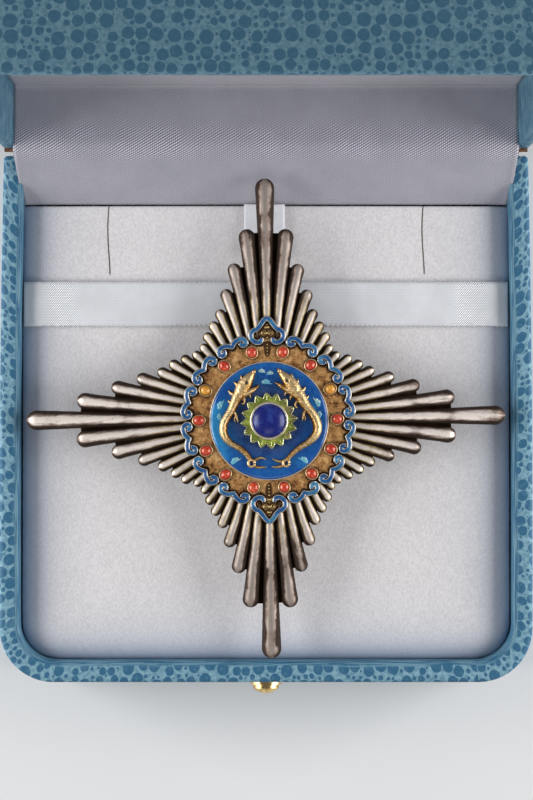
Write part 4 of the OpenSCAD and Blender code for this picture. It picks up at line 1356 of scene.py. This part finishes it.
class STAR_OT_medallion(bpy.types.Operator):
    """Makes the gilt plate, its border, the disc's rim and the stones' cups"""

    bl_idname = "star.medallion"
    bl_label = "Medallion"

    def execute(self, context):
        p = star_props()
        top = PLATE_Z
        metals = {name: metal_material(name, bright, dark, top + low, top + high, *rest)
                  for name, (bright, dark, low, high, *rest) in PLATE_METALS.items()}
        line = enamel_material("border_enamel", p.line, (0.05, 0.24, 0.44), 420.0, 0.9)
        solid, away = self.plate()
        build("gilt_plate", [solid], plate_material(p.gilt), BASE, ["medallion"],
              place=on_medal, marks={"away": away})
        ridges, wires, enamel, cups, fields, scrolls = [], [], [], [], [], []
        for index in range(STONES):
            path = border_path(index)
            normal = path_normals(path)
            ridges.append(flat_band(path, RIDGE_W + 0.04, 0.42, top - 0.05))
            enamel.append(half_round(path, 0.64, 0.34, top + 0.26, power=0.6))
            for side in (-1, 1):
                height = np.full((len(path), 1), top + 0.42)
                wires.append(round_wire(np.concatenate([path + normal * side * 0.385, height], 1), 0.095))
            for end in (path[0], path[-1]):
                wires.append(bead((end[0], end[1], top + 0.1), 0.2, 0.42))
            solid = ring_wall(CUP_R, 0.14, top - 0.02, 0.6, 28)
            places = solid[0] * [0.94, 1.06, 1] + [0, STONE_RING_R, 0]
            cups.append(turned_solid((places, *solid[1:]), (index + 0.5) * PITCH))
        r, w = np.array(HEAD_FIELD).T
        for turn in (0, 180):
            field = flat_band(np.stack([np.zeros_like(r), r], -1), w, 0.08, top - 0.02)
            fields.append(turned_solid(field, turn))
            scrolls.extend(turned_solid(solid, turn) for solid in self.filigree(top + 0.13))
        rim = [ring_wall(DISC_R + 0.14, 0.11, top, 0.42, 180)]
        for name, solids, metal, place in (("border_ridge", ridges, "border_side", on_medal),
                                           ("border_wires", wires, "border_wire", on_medal),
                                           ("disc_rim", rim, "rim_wire", on_disc)):
            build(name, solids, metals[metal], BASE, place=place)
        build("border_line", enamel, line, BASE, ["border_enamel"], place=on_medal)
        for name, solids, metal in (("patina_fields", fields, "patina"), ("stone_cups", cups, "cup_gold"),
                                    ("head_scrolls", scrolls, "scroll_gold")):
            build(name, solids, metals[metal], BASE, place=on_medal)
        return {"FINISHED"}

    def plate(self):
        """The plate's slab: its outline at a few heights, closed in towards the middle in rings. With it
        comes each corner's distance from the border's middle line or a cup's wall, in millimetres."""
        top, turns, inner = PLATE_Z, 840, 11.8
        edge = plate_edge(turns)
        shares = np.linspace(1, 0, 20)
        rings = [inner + (edge - 0.1 - inner) * share for share in shares]
        solid = lathe([0.1, edge - 0.12, edge, edge, *rings, 0.1],
                      [SEAT_Z + 0.02, SEAT_Z + 0.02, SEAT_Z + 0.12, top - 0.1, *np.full(20, top), top],
                      turns)
        places = solid[0][:, :2]
        away = np.full(len(places), 9.0)
        for group in np.array_split(border_places(), 8):
            gap = np.linalg.norm(places[:, None] - group[None], axis=2).min(1)
            away = np.minimum(away, gap - RIDGE_W / 2)
        for index in range(STONES):
            middle = turned(np.array([0, STONE_RING_R]), (index + 0.5) * PITCH)
            gap = np.abs(np.linalg.norm(places - middle, axis=1) - CUP_R)
            away = np.minimum(away, gap + 0.25)
        return solid, away

    def filigree(self, level):
        """Gold scrolls inside a pointed head: pairs of volutes whose radius shrinks with the turn, with
        single beads between them and down the neck."""
        turn = np.linspace(0, 1, 28)
        solids = []
        for y, out, size in ((16.6, 0.68, 0.6), (15.25, 0.36, 0.3), (17.7, 0.26, 0.22)):
            a = np.radians(200 - turn * 620)
            r = size * (1 - 0.8 * turn)
            for side in (-1, 1):
                path = np.stack([side * (out + r * np.cos(a)), y + r * np.sin(a), np.full(28, level)], -1)
                solids.append(round_wire(path, 0.075, 6))
        for y in (12.5, 13.15, 13.8, 14.45, 15.75, 18.25):
            solids.append(bead((0, y, level - 0.08), 0.15, 0.14, 8))
        return solids


DRAGON_H = 1.35
# The left and the right dragon: the body down to its tail, the head's skull and jaw, the mane, legs and
# tail fork, and the places of the tail's ring and of the eye. Columns: x, y and width, as shares of the
# disc's radius
DRAGONS = [
    {"body":
     [(-0.436, 0.556, 0.226), (-0.497, 0.471, 0.193), (-0.557, 0.380, 0.152), (-0.601, 0.285, 0.135),
      (-0.635, 0.201, 0.130), (-0.689, 0.113, 0.128), (-0.747, 0.022, 0.128), (-0.784, -0.086, 0.130),
      (-0.780, -0.204, 0.123), (-0.726, -0.314, 0.110), (-0.630, -0.399, 0.096), (-0.520, -0.461, 0.088),
      (-0.427, -0.535, 0.084), (-0.361, -0.617, 0.079), (-0.318, -0.686, 0.076)],
     "head": [
      [(-0.503, 0.463, 0.169), (-0.453, 0.556, 0.226), (-0.395, 0.647, 0.220), (-0.338, 0.725, 0.169),
       (-0.287, 0.792, 0.115), (-0.250, 0.840, 0.068), (-0.220, 0.883, 0.017)],
      [(-0.444, 0.458, 0.118), (-0.345, 0.495, 0.108), (-0.270, 0.532, 0.081), (-0.209, 0.573, 0.051),
       (-0.159, 0.617, 0.014)]],
     "limbs": [
      [(-0.436, 0.699, 0.084), (-0.463, 0.748, 0.057), (-0.466, 0.789, 0.017)],
      [(-0.512, 0.606, 0.101), (-0.557, 0.640, 0.068), (-0.595, 0.677, 0.017)],
      [(-0.588, 0.454, 0.110), (-0.645, 0.478, 0.074), (-0.696, 0.529, 0.017)],
      [(-0.630, 0.319, 0.084), (-0.672, 0.329, 0.051), (-0.699, 0.360, 0.017)],
      [(-0.368, 0.478, 0.068), (-0.324, 0.437, 0.044), (-0.311, 0.394, 0.014)],
      [(-0.453, 0.412, 0.068), (-0.419, 0.380, 0.044), (-0.409, 0.336, 0.014)],
      [(-0.546, 0.285, 0.068), (-0.514, 0.346, 0.051), (-0.463, 0.377, 0.044), (-0.419, 0.343, 0.041),
       (-0.436, 0.296, 0.037), (-0.476, 0.309, 0.020)],
      [(-0.630, 0.176, 0.091), (-0.581, 0.127, 0.064), (-0.554, 0.059, 0.054), (-0.530, -0.029, 0.017)],
      [(-0.571, 0.090, 0.047), (-0.595, 0.035, 0.037), (-0.581, -0.012, 0.014)],
      [(-0.284, -0.694, 0.061), (-0.216, -0.657, 0.054), (-0.142, -0.633, 0.044), (-0.064, -0.660, 0.014)],
      [(-0.284, -0.762, 0.061), (-0.206, -0.792, 0.057), (-0.132, -0.799, 0.044), (-0.051, -0.792, 0.014)]],
     "ring": (-0.311, -0.728), "eye": (-0.378, 0.650)},
    {"body":
     [(0.375, 0.590, 0.236), (0.459, 0.505, 0.211), (0.537, 0.410, 0.179), (0.591, 0.319, 0.159),
      (0.659, 0.218, 0.145), (0.733, 0.125, 0.139), (0.794, 0.024, 0.139), (0.826, -0.086, 0.139),
      (0.818, -0.198, 0.133), (0.753, -0.306, 0.118), (0.654, -0.387, 0.101), (0.544, -0.451, 0.088),
      (0.443, -0.525, 0.081), (0.358, -0.603, 0.074), (0.299, -0.677, 0.071)],
     "head": [
      [(0.485, 0.480, 0.169), (0.426, 0.573, 0.220), (0.358, 0.657, 0.209), (0.291, 0.731, 0.162),
       (0.230, 0.799, 0.111), (0.186, 0.850, 0.068), (0.152, 0.894, 0.017)],
      [(0.409, 0.480, 0.118), (0.316, 0.532, 0.108), (0.233, 0.579, 0.081), (0.166, 0.623, 0.051),
       (0.105, 0.657, 0.014)]],
     "limbs": [
      [(0.392, 0.716, 0.084), (0.399, 0.765, 0.054), (0.382, 0.799, 0.017)],
      [(0.459, 0.623, 0.101), (0.493, 0.667, 0.068), (0.503, 0.711, 0.017)],
      [(0.544, 0.497, 0.110), (0.598, 0.529, 0.071), (0.632, 0.576, 0.017)],
      [(0.603, 0.361, 0.084), (0.655, 0.387, 0.051), (0.686, 0.427, 0.017)],
      [(0.324, 0.505, 0.068), (0.284, 0.465, 0.044), (0.274, 0.421, 0.014)],
      [(0.409, 0.437, 0.068), (0.372, 0.394, 0.044), (0.368, 0.350, 0.014)],
      [(0.544, 0.370, 0.084), (0.486, 0.326, 0.061), (0.453, 0.275, 0.051), (0.466, 0.225, 0.041),
       (0.497, 0.228, 0.017)],
      [(0.654, 0.193, 0.091), (0.605, 0.133, 0.064), (0.584, 0.066, 0.054), (0.571, -0.008, 0.017)],
      [(0.595, 0.091, 0.047), (0.622, 0.039, 0.037), (0.611, -0.008, 0.014)],
      [(0.265, -0.694, 0.061), (0.181, -0.701, 0.057), (0.111, -0.684, 0.041), (0.051, -0.654, 0.014)],
      [(0.265, -0.762, 0.061), (0.181, -0.785, 0.057), (0.111, -0.796, 0.044), (0.037, -0.789, 0.014)]],
     "ring": (0.284, -0.728), "eye": (0.311, 0.677)}]

# Cloud scrolls on the disc. Columns: x, y, size, clockwise turn, 1 or -1 for a mirrored one
CLOUDS = [(-1.3, 9.5, 0.62, 0, 1), (0.35, 9.1, 0.62, 0, -1), (-0.5, 7.4, 0.78, 0, 1),
          (-9.25, 3.1, 0.8, -72, 1), (-9.5, 0.9, 0.6, -86, -1), (9.25, 3.4, 0.8, 70, -1),
          (9.6, 1.1, 0.62, 86, 1), (-6.6, -7.6, 0.85, -40, 1), (6.6, -7.6, 0.8, 40, -1)]
# How much lower the disc's edge lies than its middle
DISC_FALL = 0.3


def disc_level(r):
    """Height of the disc's enamel at radius r: a shallow parabola."""
    return DISC_TOP - DISC_FALL * (r / DISC_R) ** 2


def cloud(x, y, size, turn, flip):
    """A small cloud: three low puffs side by side over a swelling, trailing wisp, as paths on the disc with
    their widths. A puff is a short path as wide as it is long."""
    shapes = []
    for dx, dy, lobe in ((-0.62, 0.14, 0.42), (0.0, 0.34, 0.52), (0.60, 0.12, 0.40)):
        t = np.radians(np.linspace(-85, 85, 9))
        path = np.stack([dx * size + lobe * size * np.sin(t), np.full(9, dy * size)], -1)
        shapes.append((path, 2 * lobe * size * np.cos(t)))
    tail = smooth_path([(-1.15, -0.12), (-0.4, -0.30), (0.5, -0.28), (1.1, -0.42), (1.6, -0.40)], 5) * size
    shapes.append((tail, 0.34 * size * np.sin(np.linspace(0.25, math.pi - 0.12, len(tail)))))
    return [(turned(path * [flip, 1], turn) + [x, y], width) for path, width in shapes]


class STAR_OT_disc(bpy.types.Operator):
    """Makes the blue enamel disc with its small cloud scrolls"""

    bl_idname = "star.disc"
    bl_label = "Enamel disc"

    def execute(self, context):
        p = star_props()
        r = np.linspace(DISC_R, 0.1, 24)
        solid = lathe(np.concatenate([[0.1, DISC_R], r]),
                      np.concatenate([[PLATE_Z, PLATE_Z], disc_level(r)]), turns=120)
        blue = self.disc_material(p)
        build("enamel_disc", [solid], blue, BASE, ["disc_enamel"], place=on_disc)
        wisps = []
        for x, y, size, turn, flip in CLOUDS:
            for path, width in cloud(x, y, size, turn, flip):
                low = disc_level(np.linalg.norm(path, axis=1)) - 0.05
                wisps.append(half_round(path, width, 0.13, low, sides=6))
        pale = enamel_material("cloud_enamel", (0.16, 0.50, 0.62), (0.62, 0.78, 0.72), 700.0, 0.8, rough=0.3)
        build("cloud_scrolls", wisps, pale, BASE, place=on_disc)
        return {"FINISHED"}

    def disc_material(self, p):
        """Royal blue, lighter towards the left and right edges, and darker and mottled round the rosette."""
        material, s, at, surface = new_material("disc_enamel", Coat_Weight=0.35, Coat_Roughness=0.14)
        spot = at["Object"]
        place = s.split(spot)
        x = s.minus(place[0], float(MEDAL_MIDDLE[0] * MM))
        y = s.minus(place[1], float(MEDAL_MIDDLE[1] * MM))
        sides = s.step(s.size(x), 0.0045, 0.011)
        out = s.group(GROUPS["enamel"], Vector=spot, Deep=rgba(p.blue), Light=rgba((0.03, 0.30, 0.62)),
                      Patch=150.0, Amount=s.plus(s.times(sides, 0.75), 0.25))
        reach = s.math("SQRT", s.plus(s.times(x, x), s.times(y, y)))
        # Darker, mottled blue round the rosette
        shade = s.step(reach, 0.0052, 0.0090, 0.75, 0.0)
        rosette_dark = s.mix(s.step(s.noise(spot, 420.0, 3.0, 0.6), 0.42, 0.60), rgba((0.008, 0.014, 0.050)),
                     rgba((0.040, 0.060, 0.150)))
        colour = s.mix(shade, out["Color"], rosette_dark)
        join(s, surface, Base_Color=colour, Roughness=s.step(out["Grain"], 0.3, 0.7, 0.2, 0.38),
             Normal=s.bump(out["Grain"], 0.25, 0.00006))
        return material


def gold_material(gold):
    """Cast gold with small scales: pale on the crests, brown between them and lower down; browner on the
    flanks facing the disc's middle and paler on the others, as painted shade and light.
    """
    material, s, at, surface = new_material("dragon_gold", Metallic=0.85)
    spot = at["Object"]
    out = s.group(GROUPS["tarnish"], Vector=spot, Low=(STAR_Z + DISC_TOP - 0.3) * MM,
                  High=(STAR_Z + DISC_TOP + 0.95) * MM, Grain=900.0, Spread=0.3)
    scales = s.node("ShaderNodeTexVoronoi", {"Vector": spot, "Scale": 2300.0, "Randomness": 0.6}).outputs[0]
    # Painted shade and light: browner on the flanks facing the disc's middle, paler on the outer flanks and
    # the limbs' tips
    inner = s.mark("inner")
    lean = s.plus(s.step(inner, 0.0, 0.75, 0.0, 0.55), s.step(inner, -0.9, -0.1, -0.45, 0.0))
    worn = s.plus(out["Tarnish"], s.step(scales, 0.35, 0.75, -0.1, 0.35))
    worn = s.plus(worn, lean, clamp=True)
    colour = s.mix(s.step(worn, 0.05, 0.6), rgba(gold), rgba((0.52, 0.28, 0.08)))
    colour = s.mix(s.step(worn, 0.5, 1.0), colour, rgba((0.18, 0.07, 0.015)))
    join(s, surface, Base_Color=colour, Roughness=s.step(out["Scuffs"], 0.3, 0.7, 0.38, 0.52),
         Normal=s.bump(s.times(scales, -1.0), 0.5, 0.00012))
    return material


class STAR_OT_dragons(bpy.types.Operator):
    """Makes the two cast dragons"""

    bl_idname = "star.dragons"
    bl_label = "Dragons"

    def execute(self, context):
        gold = gold_material(star_props().gold)
        dark = enamel_material("dragon_eye", (0.02, 0.008, 0.004), (0.10, 0.04, 0.01), 900.0, 0.5)
        eyes = []
        for side, name, shape in ((-1, "left", DRAGONS[0]), (1, "right", DRAGONS[1])):
            solids, inner, eye = self.dragon(shape, side)
            build("dragon_on_" + name, solids, gold, BASE, ["dragon_" + name], place=on_disc,
                  marks={"inner": np.concatenate(inner)})
            eyes.append(eye)
        build("dragon_eyes", eyes, dark, BASE, place=on_disc)
        return {"FINISHED"}

    def bar(self, rows, height, sides=8, side=0.0, tip=0.0, wide=1.0):
        """A half-round bar along smoothed rows of x, y and width, standing in the enamel; its height is
        held to a share of its width and to a limit. wide is a factor on its width. With it comes each
        corner's lean towards the disc's middle, less tip times its share of the way along, which sets the
        painted shade and light."""
        path = smooth_path(rows, 6) * [DISC_R, DISC_R, DISC_R * wide]
        low = disc_level(np.linalg.norm(path[:, :2], axis=1)) - 0.3
        tall = 0.3 + np.minimum(0.32 + 0.5 * path[:, 2], height)
        across = np.cos(np.linspace(0, math.pi, sides + 1))
        inner = -side * path_normals(path)[:, :1] * across - tip * np.linspace(0, 1, len(path))[:, None]
        return half_round(path, path[:, 2], tall, low, sides=sides, power=0.75), inner.ravel()

    def dragon(self, shape, side):
        """Body, skull, jaw and limbs as bars, with a snout ridge, an eye under a brow, a nostril and a ring
        at the tail; side is -1 for the left one. It returns the solids, how far each corner leans inwards
        and the eye."""
        skull, jaw = shape["head"]
        ridge = np.array(skull[2:]) * [1, 1, 0.28] + [0.012 * side, 0.012, 0]
        made = [self.bar(shape["body"], DRAGON_H, 14, side, wide=1.16),
                self.bar(skull, DRAGON_H + 0.1, 12, side, wide=1.1),
                self.bar(jaw, DRAGON_H - 0.2, 10, side, wide=1.15),
                self.bar(ridge, DRAGON_H + 0.35, 8, side, 0.5)]
        made += [self.bar(rows, 1.05, side=side, tip=1.0) for rows in shape["limbs"]]
        x, y = np.array(shape["eye"]) * DISC_R
        brow = arc((x, y), 0.48, -30, 215, 16)
        nose = np.array(skull[-2][:2]) * DISC_R
        ring = np.array(shape["ring"]) * DISC_R
        loop = arc(ring, 0.62, 0, 350, 30)
        level = disc_level(np.linalg.norm(loop, axis=1)) + 0.5
        # By their lean, the tail's loop is painted lighter and the bead in it darker
        for solid, lean in ((round_wire(np.column_stack([brow, np.full(16, DISC_TOP + 1.3)]), 0.12), 0.0),
                            (bead((*nose, DISC_TOP + 0.5), 0.38, 0.5, 10), 0.0),
                            (round_wire(np.column_stack([loop, level]), 0.23), -1.0),
                            (bead((*ring, DISC_TOP - 0.1), 0.2, 0.35, 10), 1.0)):
            made.append((solid, np.full(len(solid[0]), lean)))
        solids, inner = zip(*made)
        return solids, inner, bead((x, y, DISC_TOP + 1.22), 0.33, 0.24, 10)


# Leaves of the rosette: how many, the reach of their tips and notches, and their turn in degrees
PETALS = 16
PETAL_TIP = 5.45
PETAL_NOTCH = 4.3
LEAF_TURN = 7.3
# Radius at which the leaves' slope ends and their veins begin
VEIN_R = 3.7


class STAR_OT_rosette(bpy.types.Operator):
    """Makes the green rosette, the bezel and the middle stone"""

    bl_idname = "star.rosette"
    bl_label = "Rosette and middle stone"

    def execute(self, context):
        p = star_props()
        low, top = PLATE_Z + 0.5, PETAL_TOP
        turns = PETALS * 16
        edge = self.leaf_edge(full_turn(turns))
        solid = lathe([0.1, edge, edge * 0.995, edge * 0.93, VEIN_R, 0.1],
                      [low, low, top - 0.22, top - 0.16, top - 0.02, top], turns)
        build("leaf_rosette", [turned_solid(solid, LEAF_TURN)], self.leaf_material(p), BASE,
              ["petal_rosette"], place=on_disc)
        a = np.linspace(0, 2 * math.pi, turns + 1)
        r = self.leaf_edge(a) * 0.985
        wire = np.stack([r * np.cos(a), r * np.sin(a), np.full(len(a), top - 0.12)], -1)
        pale = metal_material("leaf_wire", (0.80, 0.80, 0.45), (0.35, 0.25, 0.10), 2.0, 3.6, 900.0, 0.2, 0.3)
        veins = []
        for index in range(PETALS):
            t = np.linspace(VEIN_R, PETAL_TIP - 0.35, 5)
            vein = np.stack([t, np.zeros(5), np.full(5, top - 0.1)], -1)
            veins.append(turned_solid(round_wire(vein, 0.05, 6), -(index + 0.55) * 360 / PETALS))
        wires = [turned_solid(piece, LEAF_TURN) for piece in (round_wire(wire, 0.1, 8), *veins)]
        build("leaf_wires", wires, pale, BASE, place=on_disc)
        bezel_top = BEZEL_HIGH[2] - STAR_Z
        cab_r = (CAB_HIGH[0] - CAB_LOW[0]) / 2
        wall = (BEZEL_HIGH[0] - BEZEL_LOW[0]) / 2 - cab_r
        gold = metal_material("bezel_gold", (0.85, 0.77, 0.60), (0.30, 0.16, 0.06), bezel_top - 1.3,
                              bezel_top - 0.3, 800.0, 0.25, 0.42)
        ring = ring_wall(cab_r + wall / 2 + 0.02, wall / 2 + 0.02, top - 0.3, bezel_top - top + 0.3, 96)
        build("bezel_ring", [ring], gold, BASE, ["bezel"], place=on_disc)
        cab_top = CAB_HIGH[2] - STAR_Z
        t = np.radians(np.linspace(0, 88, 22))
        rise = (cab_top - bezel_top + 0.35) * np.sin(t) ** 1.15
        dome = lathe(np.concatenate([[cab_r - 0.3], cab_r * np.cos(t) ** 0.9]),
                     np.concatenate([[top], cab_top - rise[-1] + rise]), turns=96)
        build("middle_stone", [dome], self.lapis_material(p), BASE, ["cabochon"], place=on_disc)
        return {"FINISHED"}

    def leaf_edge(self, angle):
        """The rosette's outline: each leaf rises on a bowed side to its tip and falls back steeper."""
        share = (angle * PETALS / (2 * math.pi)) % 1.0
        rise = np.where(share < 0.55, share / 0.55, (1 - share) / 0.45)
        return PETAL_NOTCH + (PETAL_TIP - PETAL_NOTCH) * np.clip(rise, 0, 1) ** 0.85

    def leaf_material(self, p):
        """Yellow green, worn pinkish brown here and there."""
        material, s, at, surface = new_material("leaf_enamel", Coat_Weight=0.5, Coat_Roughness=0.12)
        spot = at["Object"]
        out = s.group(GROUPS["enamel"], Vector=spot, Deep=rgba(p.green, 0.5), Light=rgba((0.50, 0.60, 0.10)),
                      Patch=520.0, Amount=1.0)
        side = s.step(s.split(spot)[0], 0.0030, 0.0050)
        worn = s.step(s.noise(spot, 600.0, 4.0, 0.6), 0.42, 0.60)
        worn = s.times(worn, s.plus(s.times(side, 0.85), 0.12))
        colour = s.mix(worn, out["Color"], rgba((0.30, 0.16, 0.13)))
        join(s, surface, Base_Color=colour, Roughness=s.step(out["Grain"], 0.3, 0.7, 0.18, 0.4),
             Normal=s.bump(out["Grain"], 0.4, 0.0001))
        return material

    def lapis_material(self, p):
        """Deep violet blue with soft lighter patches and a few pale specks."""
        material, s, at, surface = new_material("lapis", Coat_Weight=0.05, Coat_Roughness=0.12,
                                                Specular_IOR_Level=0.38)
        spot = at["Object"]
        out = s.group(GROUPS["enamel"], Vector=spot, Deep=rgba(p.lapis), Light=rgba((0.035, 0.075, 0.34)),
                      Patch=330.0, Amount=0.9)
        specks = s.step(s.noise(spot, 2600.0, 2.0, 0.8), 0.70, 0.78, 0.0, 0.35)
        colour = s.mix(specks, out["Color"], rgba((0.45, 0.45, 0.60)))
        join(s, surface, Base_Color=colour, Roughness=s.step(out["Grain"], 0.3, 0.7, 0.24, 0.38))
        return material


# Places of the amber stones in the ring, counted from 0 and clockwise from the upper head
AMBER = (2, 11)
# Height over the plate at which a stone is widest, in millimetres
GIRDLE_H = 0.45


class STAR_OT_stones(bpy.types.Operator):
    """Sets the ring of coral and amber stones"""

    bl_idname = "star.stones"
    bl_label = "Ring of stones"

    def execute(self, context):
        p = star_props()
        rng = np.random.default_rng(SEED + 1)
        radius = (STONE_HIGH[0] - STONE_LOW[0]) / 2
        top = STONE_HIGH[2] - STAR_Z
        kinds = {"coral": [], "amber": []}
        nodes = {"coral": [], "amber": []}
        for index in range(STONES):
            kind = "amber" if index in AMBER else "coral"
            t = np.radians(np.linspace(0, 86, 10))
            rise = top - PLATE_Z - GIRDLE_H
            levels = np.concatenate([[PLATE_Z + 0.02], PLATE_Z + GIRDLE_H + rise * np.sin(t)])
            solid = lathe(np.concatenate([[radius * 0.96], radius * np.cos(t)]), levels, turns=32)
            stretch = [rng.uniform(0.90, 0.98), rng.uniform(0.98, 1.08), 1]
            places = solid[0] * stretch + [rng.uniform(-0.04, 0.04), STONE_RING_R, 0]
            kinds[kind].append(turned_solid((places, *solid[1:]), (index + 0.5) * PITCH))
            nodes[kind].append("stone_%d" % (index + 1))
        for kind, colour, light, deep in (
                ("coral", p.coral, (0.74, 0.13, 0.045), (0.22, 0.012, 0.008)),
                ("amber", p.amber, (0.82, 0.50, 0.08), (0.40, 0.06, 0.01))):
            build(kind + "_stones", kinds[kind], self.stone_material(kind, colour, light, deep), BASE,
                  nodes[kind], place=on_medal)
        return {"FINISHED"}

    def stone_material(self, name, colour, light, deep):
        """Polished stone with lighter clouds and dark veins."""
        material, s, at, surface = new_material(
            name, Coat_Weight=0.6, Coat_Roughness=0.06, Subsurface_Weight=0.12,
            Subsurface_Radius=(0.001, 0.0004, 0.0002))
        spot = at["Object"]
        out = s.group(GROUPS["enamel"], Vector=spot, Deep=rgba(colour), Light=rgba(light), Patch=900.0,
                      Amount=0.9)
        veins = s.step(s.noise(spot, 1300.0, 4.0, 0.7, 1.5), 0.60, 0.72, 0.0, 0.6)
        join(s, surface, Base_Color=s.mix(veins, out["Color"], rgba(deep)),
             Roughness=s.step(out["Grain"], 0.3, 0.7, 0.14, 0.3), Normal=s.bump(out["Grain"], 0.25, 0.00008))
        return material


# The point that the camera looks at, in millimetres, and half the floor's width, in metres
AIM = (0.1, 3.58, RIM_Z)
FLOOR_HALF = 1.5
# Lights. Columns: name, place and size in metres, and the setting that holds its power
LIGHTS = [("left", (-0.42, 0.0, 0.175), 0.34, "side"), ("right", (0.42, 0.0, 0.175), 0.34, "side"),
          ("front", (0.0, -0.42, 0.42), 0.30, "front")]


class STAR_OT_stage(bpy.types.Operator):
    """Sets the floor, the lights and the camera"""

    bl_idname = "star.stage"
    bl_label = "Stage"

    def execute(self, context):
        p = context.scene.stage_props
        mesh = bpy.data.meshes.new("floor")
        corners = [(-1, -1), (1, -1), (1, 1), (-1, 1)]
        mesh.from_pydata([(x * FLOOR_HALF, y * FLOOR_HALF, 0) for x, y in corners], [], [(0, 1, 2, 3)])
        floor = bpy.data.objects.new("floor", mesh)
        context.scene.collection.objects.link(floor)
        floor.data.materials.append(floor_material())
        aim = Vector([place * MM for place in AIM])
        forward = Vector((0, math.sin(p.tilt), -math.cos(p.tilt)))
        data = bpy.data.cameras.new("camera")
        data.lens = p.lens
        data.clip_start = 0.01
        camera = bpy.data.objects.new("camera", data)
        camera.location = aim - forward * p.distance
        camera.rotation_euler = (p.tilt, 0, 0)
        context.scene.collection.objects.link(camera)
        context.scene.camera = camera
        for name, place, size, power in LIGHTS:
            self.light(name, place, size, getattr(p, power))
        world = bpy.data.worlds.new("studio")
        world.use_nodes = True
        sky = world.node_tree.nodes["Background"].inputs
        sky["Color"].default_value = (0.9, 0.93, 1.0, 1)
        sky["Strength"].default_value = 0.14
        context.scene.world = world
        context.scene.view_settings.view_transform = "Standard"
        return {"FINISHED"}

    def light(self, name, place, size, power):
        """A soft square light aimed at the star."""
        data = bpy.data.lights.new(name, "AREA")
        data.size = size
        data.energy = power
        lamp = bpy.data.objects.new(name, data)
        lamp.location = place
        aim = Vector((0, 0, RIM_Z * MM)) - Vector(place)
        lamp.rotation_euler = aim.to_track_quat("-Z", "Y").to_euler()
        bpy.context.scene.collection.objects.link(lamp)


OPERATORS = [STAR_OT_case, STAR_OT_metalwork, STAR_OT_pad, STAR_OT_lining, STAR_OT_ribbon, STAR_OT_rays,
             STAR_OT_medallion, STAR_OT_disc, STAR_OT_dragons, STAR_OT_rosette, STAR_OT_stones,
             STAR_OT_stage]
PROPS = {"case_props": CaseProps, "soft_props": SoftProps, "star_props": StarProps,
         "stage_props": StageProps}


class STAR_PT_panel(bpy.types.Panel):
    """Lists the pieces of the star and its case"""

    bl_idname = "STAR_PT_panel"
    bl_label = "Breast Star"
    bl_space_type = "VIEW_3D"
    bl_region_type = "UI"
    bl_category = "Breast Star"

    def draw(self, context):
        for name, kind in PROPS.items():
            column = self.layout.column(align=True)
            for prop in kind.__annotations__:
                column.prop(getattr(context.scene, name), prop)
        for operator in OPERATORS:
            self.layout.operator(operator.bl_idname)


def register():
    """Registers the settings, the operators and the panel."""
    for kind in [*PROPS.values(), *OPERATORS, STAR_PT_panel]:
        bpy.utils.register_class(kind)
    for name, kind in PROPS.items():
        setattr(bpy.types.Scene, name, PointerProperty(type=kind))


def unregister():
    """Takes them away again."""
    for name in PROPS:
        delattr(bpy.types.Scene, name)
    for kind in reversed([*PROPS.values(), *OPERATORS, STAR_PT_panel]):
        bpy.utils.unregister_class(kind)


def main():
    """Builds every piece in order."""
    register()
    make_groups()
    for operator in OPERATORS:
        space, verb = operator.bl_idname.split(".")
        getattr(getattr(bpy.ops, space), verb)()


if __name__ == "__main__":
    main()
